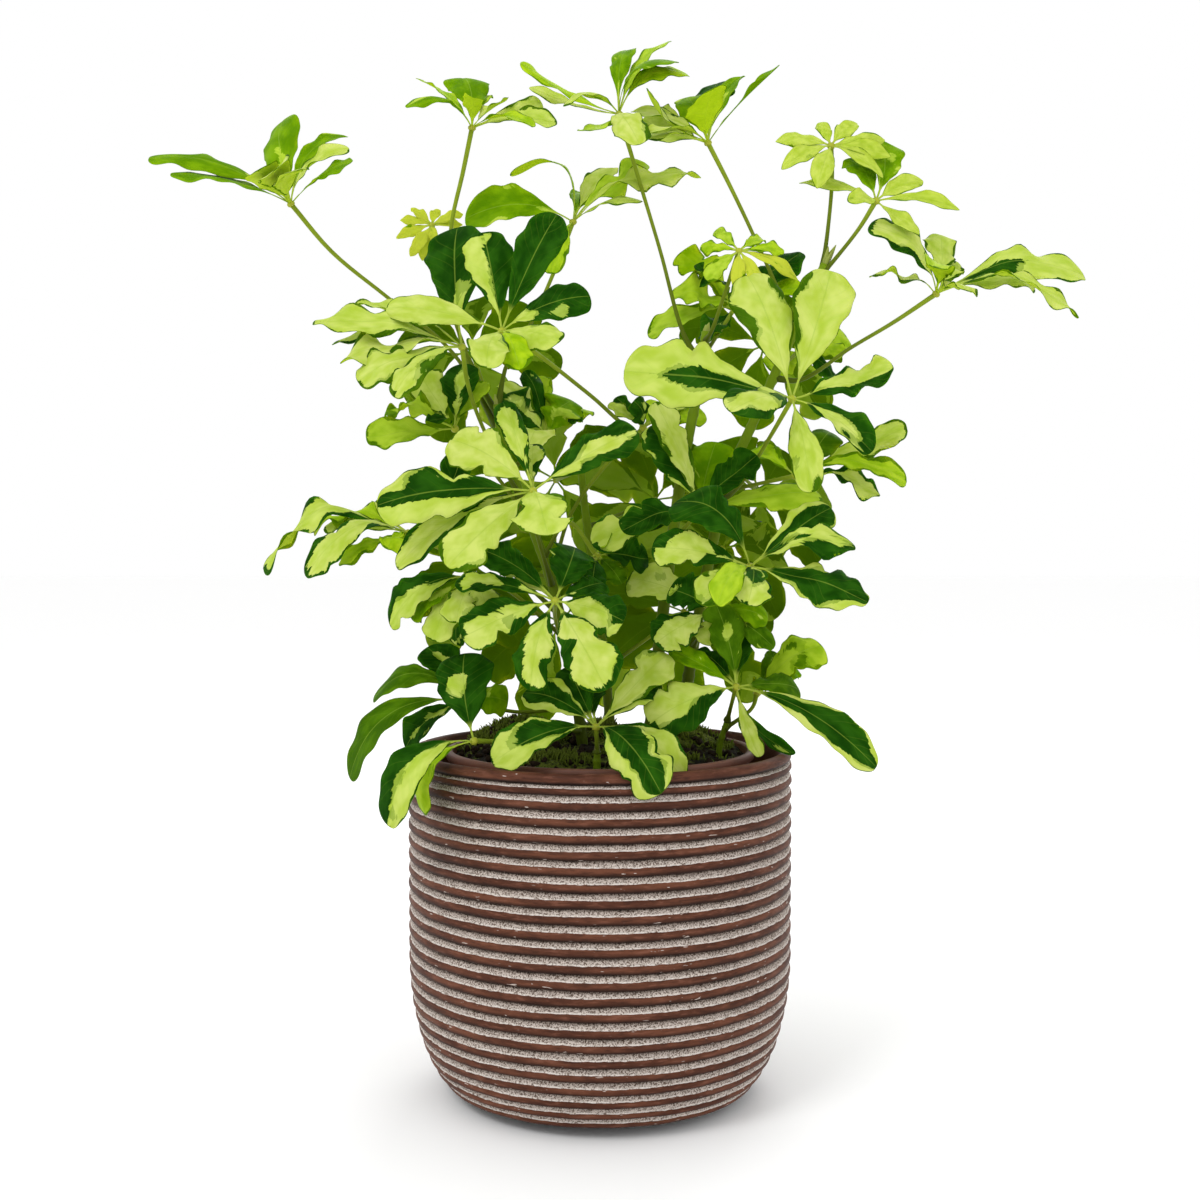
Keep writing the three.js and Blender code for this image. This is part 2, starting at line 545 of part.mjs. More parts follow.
function clearLeaflet(leaflet, bend, neighbours, siblings) {
  let second = null;
  for (const share of shortSteps) {
    for (const step of bendSteps) {
      const tip = leaflet.tip.clone().addScaledVector(bend, step).sub(leaflet.root);
      const trial = { ...leaflet, tip: tip.multiplyScalar(share).add(leaflet.root) };
      if (!meets(solid(leafletGeometry(trial, guardGap)), neighbours)) {
        if (!meets(solid(leafletGeometry(trial, 0, 1)), siblings)) {
          return trial;
        }
        second = second ?? trial;
      }
    }
  }
  return second;
}

// Build

const colours = {
  pot: 0x73463a,
  nursery: 0x6a4636,
  soil: 0x14110d,
  stem: 0x6d6f35,
  leaf: [0x9cba3c, 0x6f9a1e, 0x2f5f22, 0xb4cc5c],
};
const plant = new THREE.Group();
const placed = [];

function show(name, body, colour, roughness) {
  const material = new THREE.MeshStandardMaterial({ color: colour, roughness, metalness: 0 });
  const mesh = new THREE.Mesh(geometryOf(body), material);
  mesh.name = name;
  plant.add(mesh);
}

const stemCurves = {};
const stemBodies = {};
const stemGuards = {};

function stemBody(points, radius, tipRadius) {
  const bud = new THREE.OctahedronGeometry(tipRadius, 0);
  const tip = points[points.length - 1];
  bud.translate(tip.x, tip.y, tip.z);
  return solid(tube(points, radius, stemSides, points.length)).add(solid(bud));
}

for (const [name, { radius, points }] of Object.entries(stems)) {
  const path = points.map(seen);
  stemCurves[name] = new THREE.CatmullRomCurve3(path, false, 'centripetal');
  stemBodies[name] = stemBody(path, radius, radius * budSwell);
  const budGuard = radius * budSwell + budFlatsAllowance * guardGap;
  stemGuards[name] = stemBody(path, radius + stemFlatsAllowance * guardGap, budGuard);
}

const soil = Object.values(stemGuards).reduce((body, guard) => body.subtract(guard), solid(soilGeometry()));
const pot = solid(potGeometry());
const nursery = solid(nurseryGeometry());

show('cover_pot', pot, colours.pot, 0.55);
show('nursery_pot', nursery, colours.nursery, 0.6);
show('soil', soil, colours.soil, 1);
place(placed, pot, 'cover_pot');
place(placed, nursery, 'nursery_pot');
place(placed, soil, 'soil');
for (const [name, body] of Object.entries(stemBodies)) {
  show(name, body, colours.stem, 0.7);
  place(placed, stemGuards[name], name);
}

function backLeaflets(entry, hub, axis) {
  const side = new THREE.Vector3(0, 0, 1).cross(axis).normalize();
  const over = axis.clone().cross(side);
  return Array.from({ length: entry.count }, (_, i) => {
    const angle = backTurn + 2 * Math.PI * i / entry.count;
    const reach = entry.reach * (1 + backUneven * Math.sin(backUnevenStep * i + entry.count));
    const way = side.clone().multiplyScalar(Math.cos(angle)).addScaledVector(over, Math.sin(angle));
    way.addScaledVector(axis, -backDroop).normalize();
    const tip = hub.clone().addScaledVector(way, reach);
    return { tip, width: entry.width, arch: backArch, twist: 0, wave: 1, isPlain: true };
  });
}

function shownLeaflets(entry) {
  const [, , hubDepth] = entry.hub;
  return entry.leaflets.map(([u, v, depth, width, arch = usualArch, twist = 0, wave = usualWave]) => (
    { tip: seen([u, v, hubDepth + depth]), width, arch, twist: twist * Math.PI / 180, wave }));
}

const allLeaves = [...leaves, ...backLeaves].map((entry, index) => {
  const hub = seen(entry.hub);
  const axis = new THREE.Vector3(...entry.axis).normalize();
  const leaflets = entry.count ? backLeaflets(entry, hub, axis) : shownLeaflets(entry);
  return {
    ...entry, name: `leaf_${String(index + 1).padStart(2, '0')}`, hub, axis,
    leaflets: leaflets.map((leaflet, i) => ({ ...leaflet, root: hub, axis, phase: phaseStep * i + index })),
    bend: entry.count ? axis : new THREE.Vector3(0, 1, 0),
  };
});

// A petiole: its middle points move in depth until it clears what stands already

function petioleBody(leaf, shift, radius) {
  const foot = stemCurves[leaf.stem].getPointAt(leaf.at);
  const middle = (leaf.via && leaf.via.length ? leaf.via.map(seen) : [leaf.hub.clone().lerp(foot, 0.5)]);
  middle.forEach((point) => { point.y += shift; });
  const steps = Math.min(petioleSteps, 2 * middle.length);
  const path = tube([leaf.hub, ...middle, foot], radius, petioleSides, steps);
  const knot = new THREE.OctahedronGeometry(hubRadius + radius - petioleRadius, 0);
  knot.translate(leaf.hub.x, leaf.hub.y, leaf.hub.z);
  return solid(path).add(solid(knot)).subtract(stemGuards[leaf.stem]);
}

for (const leaf of allLeaves) {
  const others = placed.filter((other) => other.owner !== leaf.stem);
  const shift = bendSteps.find((step) => !meets(petioleBody(leaf, step, petioleRadius + guardGap), others));
  leaf.petiole = petioleBody(leaf, shift, petioleRadius);
  place(placed, leaf.petiole, leaf.name);
}

for (const leaf of allLeaves) {
  const neighbours = placed.filter((other) => other.owner !== leaf.name);
  const blades = [];
  const siblings = [];
  leaf.leaflets.forEach((leaflet) => {
    const clear = clearLeaflet(leaflet, leaf.bend, neighbours, siblings);
    const blade = solid(leafletGeometry(clear, 0));
    blades.push(blade);
    place(placed, blade, leaf.name);
    place(siblings, solid(leafletGeometry(clear, 0, 1)), leaf.name);
  });
  const body = unite([leaf.petiole, ...blades]);
  show(leaf.name, body, colours.leaf[leaf.leaflets.length % colours.leaf.length], 0.45);
}

export default plant;
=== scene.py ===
import math
from types import SimpleNamespace

import bpy
import numpy as np
from mathutils import Euler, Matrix, Vector, kdtree, noise


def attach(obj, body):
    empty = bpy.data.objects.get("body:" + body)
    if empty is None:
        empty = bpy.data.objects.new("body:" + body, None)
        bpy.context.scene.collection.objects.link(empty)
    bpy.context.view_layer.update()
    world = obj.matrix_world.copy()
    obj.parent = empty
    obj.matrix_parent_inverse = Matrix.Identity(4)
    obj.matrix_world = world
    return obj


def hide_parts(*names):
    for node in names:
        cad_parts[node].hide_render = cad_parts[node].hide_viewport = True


# Looks for the umbrella plant: the CAD's own places and sizes, with finer surfaces, leaf markings, bark,
# moss and a studio round it. Millimetres in the tables and the maths, metres in the meshes.

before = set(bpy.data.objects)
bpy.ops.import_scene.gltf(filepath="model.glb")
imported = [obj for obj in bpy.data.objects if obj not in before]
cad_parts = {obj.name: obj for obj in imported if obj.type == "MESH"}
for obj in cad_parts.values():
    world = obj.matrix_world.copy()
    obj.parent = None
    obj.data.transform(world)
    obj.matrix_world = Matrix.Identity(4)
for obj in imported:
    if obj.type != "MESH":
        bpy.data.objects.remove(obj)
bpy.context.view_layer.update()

MM = 0.001
TURN = 2 * math.pi

# The photograph's camera: how far off and how high it stands, its tilt down in radians, and its focal
# length and the side of the photograph in pixels
EYE_AWAY, EYE_HIGH, EYE_TILT = 800, 278, 0.043
FOCAL, PHOTO_SIDE = 1608, 1200


def seen(spot):
    """The object's point that a spot of the photograph shows, for a depth in mm behind the pot's middle."""
    u, v, y = spot
    across = (u - PHOTO_SIDE / 2) / FOCAL
    down = (v - PHOTO_SIDE / 2) / FOCAL
    cos, sin = math.cos(EYE_TILT), math.sin(EYE_TILT)
    away = y + EYE_AWAY
    z = EYE_HIGH - away * (down * cos + sin) / (cos - down * sin)
    return np.array([across * (away * cos + (EYE_HIGH - z) * sin), y, z], float)


def spots(text):
    """Rows of numbers, parted by commas."""
    return [[float(x) for x in row.split()] for row in text.split(",") if row.strip()]


def unit(v):
    return v / np.linalg.norm(v)


# The plant, as spots of the photograph with their depth in mm. The markings of its leaflets: P pale, V pale
# with patches, W dark with a pale foot, D dark, G mid green, L bright lime (partly painted light shining
# through the blade), O olive, Y yellow, F fresh and slender, M and T pale with a dark hem, S that and more on
# one side,
# A, B, R and H dark on one side, C dark with a pale stripe, E and J dark with a pale margin, N pale with a
# narrow dark band, K dark with a pale foot, Q pale with a dark foot.

# Each stem by its letter: its name, its radius and the spots it runs through
STEMS = {
    "C": ("stem_centre", 3.2, "650 815 -5, 650 740 -6, 660 640 -8, 672 540 -6, 684 460 -2, 694 410 2,"
        " 702 370 6, 706 332 8"),
    "R": ("stem_right", 3.0, "676 815 18, 680 740 18, 698 620 16, 718 520 12, 734 465 8, 752 425 6,"
        " 771 383 4, 797 325 2, 825 264 -2"),
    "L": ("stem_left", 2.8, "588 815 5, 582 740 5, 566 640 8, 549 575 9, 532 527 10, 515 480 10,"
        " 502 440 8, 497 404 6"),
    "B": ("stem_back", 2.6, "620 800 38, 612 740 40, 603 650 48, 592 560 56, 584 500 60, 580 460 62"),
    "F": ("shoot_front", 2.2, "598 830 -58, 597 790 -58, 597 752 -59"),
    "S": ("shoot_right", 1.8, "716 800 -12, 720 745 -15, 728 718 -20"),
}

# Each leaf: its stem's letter and the share of the stem where it grows; its hub; the way it faces; the
# spots that its petiole runs through; and its leaflets. A leaflet is its marking, its tip in the
# photograph, the tip's depth behind the hub, its width, and where they aren't the usual ones its arch,
# twist in degrees and wave.
LEAVES = """
L .93; 291 204 0; -.5 -.3 .8; 332 252 4, 392 301 12, 452 352 24;
G 149 158 -6 18 .13 -15, G 167 171 -26 21 .07 -12, G 279 118 30 26 .06, P 257 170 -40 17, P 274 168 -50 19,
P 297 170 -46 17, G 345 134 12 11 .22 30, P 350 150 -12 15 .2 20, G 349 160 -30 14 .05

L .97; 472 128 10; .1 -.3 .95; 463 172 11, 451 228 14, 450 300 24, 474 370 22;
L 418 79 6 17, G 408 103 -24 14 .2, G 461 76 34 22, L 482 92 36 16, P 504 98 10 19 .05 -30, L 474 96 -26 11,
P 543 103 18 10 .1 60, P 557 121 -4 15 .1 20, L 533 127 -24 12 .15

C .93; 619 114 15; -.2 -.3 .93; 639 180 14, 660 250 12, 684 335 6;
L 521 62 6 13 -.05 -10, P 530 86 26 9 -.05, P 566 102 -22 13 .2, L 587 127 -36 16 -.06, P 639 140 -42 17,
G 628 50 34 13 .16, L 668 41 30 14, G 678 61 -8 24 .28, L 688 74 4 14 .28 30

R .87; 708 143 10; -.3 -.35 .88; 730 186 10, 752 232 12, 782 300 16;
P 633 110 22 14, P 646 89 -14 13 -.1, P 643 104 2 22 .05 -30, P 643 142 -12 14, P 648 127 -34 13,
G 688 96 28 18, L 712 89 -22 27, D 716 77 26 22 .05, G 738 82 30 15, G 779 65 0 14 .04 -20

R .99; 831 146 -5; .05 -.85 .5; 832 180 -3, 828 228 -2;
F 776 140 -3 12, F 782 168 -12 12, F 817 187 -18 14, F 820 122 14 10, F 857 123 12 12, F 885 140 4 12,
F 891 157 -4 13, F 883 177 -12 11

R .97; 876 201 -15; .25 -.75 .6; 858 230 -10;
F 799 183 12 12, F 848 201 -18 13, G 850 158 16 15, G 884 139 16 19 .12, F 923 181 10 14, F 960 209 -2 11,
F 920 233 -12 12 0

R .79; 936 294 -10; .4 -.35 .83; 894 322 -6, 852 347 -2, 800 380 2;
M 868 226 -10 20 .2 -30, P 873 270 14 16 .1 0 2, P 941 234 28 17, L 937 260 -40 16, P 956 262 20 12,
P 968 290 -40 15, Q 1085 273 6 22 .13 20 1.6, P 1034 284 22 16, P 1080 313 -14 15 .19 10 2

L .9; 432 225 45; 0 -.92 .38; 446 280 46, 470 372 34;
Y 411 208 2 7, Y 438 208 6 7, Y 400 220 0 7, Y 396 238 -2 8, Y 410 256 -6 9, Y 421 259 -6 8, Y 434 243 -6 6,
Y 463 213 4 8, Y 462 222 0 6

C .98; 739 251 -20; 0 -.85 .5; 724 296 -14, 712 330 -4;
L 716 229 8 8, L 700 247 4 9, L 764 238 10 8, L 784 251 4 8, L 706 279 -4 10, Y 737 293 -10 9,
Y 761 294 -10 9, Y 799 279 0 10

C .76; 502 331 -45; 0 -.8 .58; 540 356 -34, 590 395 -22, 640 436 -12;
B 483 230 8 24 .08, D 556 213 2 21 .1, K 590 296 -4 20 .12, P 561 341 -20 17, L 520 371 -38 15,
P 488 364 -42 19 .05, P 386 307 2 16 .1 -20

L .76; 462 347 -38; -.1 -.75 .65; 468 385 -26, 484 430 -10;
K 457 226 30 29, P 313 318 -4 18 .08 0 2, P 354 302 26 12 .1 20 2, M 332 341 12 12 .1 30,
P 340 362 -12 19 .1 10 2, P 358 384 -24 20 .08 0 1.6, P 394 391 -36 15

L .99; 573 222 25; 0 -.45 .88; 554 272 20, 530 325 14, 507 364 8;
L 510 176 12 13 .46 30, G 465 219 0 24 .2 -30, P 613 168 30 14, L 646 162 10 15 .1 20 2, L 551 272 -30 13,
P 641 198 -10 15, P 700 178 6 13 .18 25 2.4, G 582 192 38 13

R .56; 792 399 -45; 0 -.85 .5; 770 437 -30, 742 482 -10;
N 624 371 -4 32 .14 -10 1.4, P 747 274 16 27 .1, P 831 270 14 27 .1, B 893 366 0 18 -.03 0 2,
A 873 450 -14 20 .12 -20, P 812 490 -34 15, V 731 410 -42 22

L .55; 533 491 -70; 0 -.88 .46; 532 515 -34;
P 450 438 6 24, M 503 401 14 13, C 637 430 4 20 .12, H 377 505 -8 27 .1, P 447 566 -24 22, P 548 536 -46 25,
M 396 567 4 15 .12, M 533 444 26 12

L .36; 555 601 -75; 0 -.88 .46; 556 622 -36;
S 462 638 -10 23, T 530 688 -28 17, T 606 688 -28 25, A 624 622 -14 22, T 455 583 6 12 .14 20,
D 479 549 16 17, D 575 547 30 22, D 603 583 20 14, P 505 558 26 14

R .42; 750 567 -62; 0 -.85 .5; 728 590 -26;
M 652 547 0 19, D 676 500 10 24 .34 10, E 831 506 6 18, V 855 546 -12 13 .32 0 2.2, E 868 602 -22 22 .1 0 1.6,
Q 748 601 -42 19, P 703 600 -28 19, L 716 603 -50 13

F .99; 596 727 -62; 0 -.72 .7;;
Q 492 762 -12 21 .18, E 524 690 10 19 .1, P 545 684 24 19, D 568 666 28 18, D 590 676 36 16, P 668 652 24 20,
E 660 682 10 14, J 661 791 -34 25 .24, Q 686 784 -26 20 .24

S .97; 736 687 -38; 0 -.8 .6;;
R 650 723 -22 26 .1, E 876 768 -16 18 .25, G 669 648 6 11, O 713 602 22 18, D 742 618 18 15, O 800 690 22 15,
D 692 650 26 14, P 760 757 -2 9 -.06, D 795 754 10 7 -.22

L .2; 474 741 -62; -.1 -.7 .7; 505 741 -50, 556 730 -20;
C 464 652 14 27, B 388 826 -16 23 .42, L 421 812 2 17 .28 20

L .48; 408 533 -14; -.2 -.7 .68; 440 548 -8, 500 566 2;
M 261 560 -8 19 .22 20 3, L 314 516 12 15 .1 20 2.6, M 307 579 -24 19 .28, P 357 508 22 13, P 319 525 4 11,
L 388 549 -24 13 .1 0 2, L 338 561 -12 12, D 463 443 20 19 -.15

L .72; 455 429 0; -.2 -.75 .63; 482 458 4;
L 385 409 10 14 .18 0 3, L 366 438 -4 20 .06, P 417 370 14 19, D 431 417 -18 11, C 462 363 10 20,
L 484 382 14 15

C .95; 735 308 30; 0 -.7 .7;;
L 680 254 12 21 .1 0 2, D 694 266 -8 11 .1 30 2, L 674 290 -8 20 .1 0 2, L 647 333 4 18, D 802 254 6 19,
L 804 287 -4 15, D 704 341 -10 14 .1 0 2

R .8; 800 350 32; .2 -.7 .68;;
L 848 334 8 20, L 845 353 -8 13, D 785 320 10 14, L 770 372 -10 18, D 835 380 0 14

L .84; 545 436 14; 0 -.75 .66;;
C 506 396 -8 24 .06 0 2, P 503 380 12 15, D 524 370 22 10, L 539 374 26 10, G 570 397 4 22 .1 0 2,
P 530 438 -34 22, D 579 411 14 13, L 589 410 20 13

L .42; 478 578 -36; -.2 -.75 .63; 508 590 -16;
B 390 626 -4 20 .3, G 410 620 -14 15 .24, P 431 637 -22 18, V 455 645 0 13, P 456 622 -36 17,
P 489 616 -36 15, D 476 557 -30 14

S .85; 757 693 -8; .3 -.6 .74; 752 708 -12;
L 822 646 4 22 .18, O 775 651 12 9, L 759 682 -20 9, G 797 668 28 14

C .56; 700 511 -18; 0 -.8 .6;;
E 655 423 10 23, R 592 541 -10 20 .1 -10, P 655 404 22 15, D 622 531 -26 17, G 716 442 20 20,
L 823 493 6 19 .1, D 787 425 16 18

L .62; 597 556 -12; 0 -.75 .66; 568 522 -4;
D 648 560 4 24, L 612 530 -14 17, D 567 574 -16 18, D 592 601 -26 15, O 622 582 -10 13

L .56; 643 428 24; 0 -.7 .7; 605 466 30, 570 516 24;
D 616 397 4 9, P 608 405 -6 8, D 638 402 -10 16, P 688 400 10 11, L 662 401 16 14, L 706 416 8 14

R .58; 795 476 4; .2 -.7 .68;;
P 907 427 4 13 .08 30 2.4, L 907 481 -4 11 .4 20 2.4, M 880 492 -16 14 .14 0 2, O 832 428 18 18,
L 742 448 8 20

R .3; 712 612 -28; 0 -.8 .6;;
S 655 645 -10 22, D 670 588 0 22, P 628 578 14 20 .1 -10, P 715 649 -32 18, D 746 644 -18 18,
G 768 618 -4 15 .2, O 774 648 -10 12

L .26; 468 702 -26; -.2 -.65 .73; 520 712 -8;
O 373 696 0 15 .4, O 348 776 -10 20 .34, C 404 747 4 18 .14, G 507 700 -6 19, C 427 646 8 19
""".strip().split("\n\n")

# The leaves behind, which the photograph doesn't show: the same, but last their leaflets' reach and width
BACK = """
R .84; 764 346 80; .15 .8 .58;; 45 24
L .8; 472 352 62; -.35 .7 .62;; 49 26
B .97; 556 480 122; -.2 .8 .55;; 59 30
B .8; 655 500 112; .15 .85 .5;; 57 29
R .62; 760 492 80; .4 .75 .52;; 45 28
R .46; 722 549 74; .4 .75 .52;; 43 26
B .62; 476 560 66; -.6 .6 .52;; 55 28
B .46; 560 622 118; -.25 .85 .46;; 57 30
B .38; 684 612 104; .35 .8 .48;; 57 29
""".strip().split("\n")

BACK_TONES = "DMWDVGCP"
BACK_TONE_STEP = 3  # how far the back leaves' markings move on from leaf to leaf

# Cover of green, how far the green keeps to the middle, limeness (bright lime, partly painted light shining
# through the blade), depth of green, yellowness, green margin, the side that the green keeps to (1 is
# anticlockwise round the hub as the umbrella faces the eye, 0 clockwise) and the end that it keeps to (1 is
# the tip, 0 the foot)
TONE_MARKS = """
A .42 .2 .1 1 0 .7 .9 .7, B .38 .3 .1 1 0 .5 .05 .5, C .78 0 .1 1 0 .6 .5 .6, D .92 .5 .2 1 0 .5 .5 .5,
E 1.2 1 .1 1 0 .12 .5 .5, F .02 .2 .4 .5 .15 .12 .5 .5, G .8 .5 .6 .15 0 .2 .5 .6, H .8 1 .1 1 0 .3 .15 .5,
J 1.04 1 .1 1 0 .3 .58 .5, K .66 .4 .1 1 0 .4 .6 1, L .1 .3 .85 .45 0 .3 .5 .5, M .1 0 .1 1 0 1.3 .6 .5,
N .86 1 .1 1 0 .15 .62 .3, O .88 .5 .4 .7 0 .3 .5 .5, P .06 .2 .1 .8 0 .3 .5 .5, Q .42 .8 .1 1 0 .6 .4 .1,
R .4 .5 .1 1 0 .6 .85 .15, S .3 .1 .1 1 0 1.5 .15 .5, T .16 0 .1 1 0 1.7 .62 .5, V .46 .4 .1 1 0 .5 .5 .5,
W .62 .6 .1 1 0 .6 .5 .6, Y 0 .5 .5 .2 .85 0 .5 .5
"""
TONE_MARKS = {row.split()[0]: [float(x) for x in row.split()[1:]] for row in TONE_MARKS.split(",")}
CURLY_MARGIN = 0.7  # the least green margin of a curly leaf
FRESH = "FY"  # markings of young, slender, smooth blades

# Leaves by number: those whose blades curl most, those whose edges are lobed and notched, and the youngest
CURLY = {7, 11, 20, 21, 22, 24, 27, 30}
RAGGED = {14, 15, 16, 17, 18, 20, 25, 26, 27, 28, 31}
YOUNGEST = {8, 9}

# Leaflet maths, the same as the part's

RIB_HALF, STALK_HALF, STALK_SHARE = 0.7, 0.5, 0.14
BLADE_RISE, BLADE_FALL, BLADE_PEAK = 0.9, 0.42, 0.438
WAVE_TURNS, EDGE_LAG, PHASE_STEP = 1.6, 2, 1.7
WIDE_BLADE, WIDE_RING, NARROW_RING = 21, 0.86, 0.8
ARCH, WAVE = 0.1, 0.8
BACK_ARCH, BACK_WAVE = 0.16, 1.0
BACK_BLADES, BACK_DROOP, BACK_TURN, BACK_SPREAD = 7, 0.28, 0.4, 0.12
BENDS = (0, 6, -6, 12, -12, 18, -18, 26, -26)
SHORTS = (1, 0.8, 0.62)
PETIOLE_RADIUS, PETIOLE_STEPS = 1.6, 5


def blade_half(s, width):
    """Half the width of the part's blade at a share of its length."""
    if s <= STALK_SHARE:
        return STALK_HALF
    x = (s - STALK_SHARE) / (1 - STALK_SHARE)
    full = x ** BLADE_RISE * max(0.0, 1 - x) ** BLADE_FALL / BLADE_PEAK
    return max(STALK_HALF, width / 2 * full)


def leaflet_frame(blade, tip):
    """Along, across and up a leaflet, and its length."""
    along = tip - blade.root
    length = np.linalg.norm(along)
    along = along / length
    flat = unit(np.cross(blade.axis, along))
    rise = np.cross(along, flat)
    cos, sin = math.cos(blade.twist), math.sin(blade.twist)
    return along, flat * cos + rise * sin, rise * cos - flat * sin, length


def cad_marks(blade, tip):
    """Where the part's solid has its tip and its last ring's four corners, if its leaflet has this tip."""
    along, across, up, length = leaflet_frame(blade, tip)
    width = blade.width
    s = WIDE_RING if width >= WIDE_BLADE and not blade.plain else NARROW_RING
    half = blade_half(s, width)
    swing = blade.wave * min(1, 2 * half / width)
    turn = TURN * WAVE_TURNS * s + blade.phase
    base = blade.root + along * s * length + up * (4 * s * (1 - s) * blade.arch * length)
    thick = min(half, RIB_HALF)
    return [tip, base + across * half + up * swing * math.sin(turn), base + up * thick,
            base - across * half + up * swing * math.sin(turn + EDGE_LAG), base - up * thick]


def catmull(points, count):
    """count points evenly spaced along a centripetal Catmull-Rom curve."""
    p = [np.array(q, float) for q in points]
    ext = [2 * p[0] - p[1]] + p + [2 * p[-1] - p[-2]]
    dense = []
    for i in range(1, len(ext) - 2):
        a, b, c, d = ext[i - 1:i + 3]
        t0, t1, t2 = [max(1e-6, np.linalg.norm(y - x)) ** 0.5 for x, y in ((a, b), (b, c), (c, d))]
        m1 = ((b - a) / t0 - (c - a) / (t0 + t1) + (c - b) / t1) * t1
        m2 = ((c - b) / t1 - (d - b) / (t1 + t2) + (d - c) / t2) * t1
        for w in np.linspace(0, 1, 40, endpoint=False):
            dense.append(b + m1 * w + (3 * (c - b) - 2 * m1 - m2) * w ** 2 + (2 * (b - c) + m1 + m2) * w ** 3)
    dense = np.array(dense + [p[-1]])
    reach = np.concatenate([[0], np.cumsum(np.linalg.norm(np.diff(dense, axis=0), axis=1))])
    want = np.linspace(0, reach[-1], count)
    return np.stack([np.interp(want, reach, dense[:, k]) for k in range(3)], 1)


# Mesh building


def linked(name, data):
    ob = bpy.data.objects.new(name, data)
    bpy.context.scene.collection.objects.link(ob)
    return ob


class Piece:
    """Parts gathered into one mesh, each with its own material and with marks on its corners."""

    def __init__(self, name):
        self.name, self.verts, self.faces, self.slots, self.mats, self.count = name, [], [], [], [], 0
        self.layers = {"place": [], "mark": [], "look": []}

    def add(self, mat, verts, faces, place=(0, 0, 0, 1), mark=(0, 0, 0, 0), look=(0, 0, 0, 0)):
        """Corners and their faces. A layer of marks is one row of four for all corners or one for each."""
        for rows, marks in zip(self.layers.values(), (place, mark, look)):
            rows.append(np.broadcast_to(np.asarray(marks, float), (len(verts), 4)))
        self.verts.append(np.asarray(verts, float))
        self.count += len(verts)
        self.cover(mat, faces, self.count - len(verts))

    def cover(self, mat, faces, start):
        """Faces over corners that are in place, numbered from start."""
        if mat not in self.mats:
            self.mats.append(mat)
        self.faces += [tuple(int(i) + start for i in face) for face in faces]
        self.slots += [self.mats.index(mat)] * len(faces)

    def done(self, node):
        mesh = bpy.data.meshes.new(self.name)
        mesh.from_pydata((np.concatenate(self.verts) * MM).tolist(), [], self.faces)
        for mat in self.mats:
            mesh.materials.append(mat)
        mesh.polygons.foreach_set("material_index", self.slots)
        mesh.polygons.foreach_set("use_smooth", [True] * len(self.faces))
        for name, rows in self.layers.items():
            layer = mesh.attributes.new(name, "FLOAT_COLOR", "POINT")
            layer.data.foreach_set("color", np.concatenate(rows).ravel())
        mesh.update()
        ob = linked(self.name, mesh)
        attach(ob, "root")
        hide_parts(node)


def ring_faces(rows, sides):
    """Quads from ring to ring, and a fan at either end to the two corners that come after the rings."""
    last, low, high = (rows - 1) * sides, rows * sides, rows * sides + 1
    faces = [(a + k, a + (k + 1) % sides, a + sides + (k + 1) % sides, a + sides + k)
             for a in range(0, last, sides) for k in range(sides)]
    faces += [(low, (k + 1) % sides, k) for k in range(sides)]
    return faces + [(high, last + k, last + (k + 1) % sides) for k in range(sides)]


def tube(path, radii, sides):
    """Closed tube: rings along the path, a point at either end, and each corner's share of the way."""
    path = np.asarray(path, float)
    n = len(path)
    radii = np.broadcast_to(radii, (n,))
    ways = np.gradient(path, axis=0)
    side = unit(np.cross(ways[0], [0.3, 0.9, 0.2]))
    verts, turns = [], np.arange(sides) * TURN / sides
    for i in range(n):
        way = unit(ways[i])
        side = unit(side - way * np.dot(side, way))
        other = np.cross(way, side)
        verts += [path[i] + radii[i] * (math.cos(a) * side + math.sin(a) * other) for a in turns]
    place = [(i / (n - 1), 0, 0, 1) for i in range(n) for _ in range(sides)] + [(0, 0, 0, 1), (1, 0, 0, 1)]
    return verts + [path[0], path[-1]], ring_faces(n, sides), place


def knob(centre, radius, axis, squash=0.8, rings=5, sides=10):
    """A closed ball, squashed along its axis."""
    axis = unit(np.asarray(axis, float))
    side = unit(np.cross(axis, [0.37, 0.61, 0.2]))
    other = np.cross(axis, side)
    tall = axis * radius * squash
    verts = [centre - tall]
    for i in range(1, rings):
        a = math.pi * i / rings
        for k in range(sides):
            b = TURN * k / sides
            verts.append(centre - tall * math.cos(a)
                         + radius * math.sin(a) * (math.cos(b) * side + math.sin(b) * other))
    verts.append(centre + tall)
    low = len(verts) - 2  # the number that ring_faces gives the lowest corner, which comes first here
    faces = [[0 if i == low else min(i, low) + 1 for i in face] for face in ring_faces(rings - 1, sides)]
    return verts, faces


def turned(profile, segments, shape=None):
    """A closed turned solid: profile is (r, z) from the axis back to the axis; shape may move the points."""
    profile = np.asarray(profile, float)
    turns = np.arange(segments) * TURN / segments
    radii, heights = [np.repeat(column[1:-1, None], segments, 1) for column in profile.T]
    if shape:
        shape(radii, heights, turns)
    verts = np.stack([radii * np.cos(turns), radii * np.sin(turns), heights], 2).reshape(-1, 3)
    verts = np.concatenate([verts, [[0, 0, profile[0][1]], [0, 0, profile[-1][1]]]])
    return verts, ring_faces(len(profile) - 2, segments)


# Materials

EDGE_SPAN = 20.0  # mm from a blade's edge at which its edge mark reaches 1


def rgb(r, g, b):
    """sRGB 0-255 to linear."""
    return tuple(c / 255 / 12.92 if c <= 10 else ((c / 255 + 0.055) / 1.055) ** 2.4 for c in (r, g, b)) + (1,)


class Value:
    """A number on its way through a material's nodes, so that sums are written as sums."""

    def __init__(self, shader, socket):
        self.shader, self.socket = shader, socket

    def __add__(self, other):
        return self.shader.math("ADD", self, other)

    def __sub__(self, other):
        return self.shader.math("SUBTRACT", self, other)

    def __rsub__(self, other):
        return self.shader.math("SUBTRACT", other, self)

    def __mul__(self, other):
        return self.shader.math("MULTIPLY", self, other)


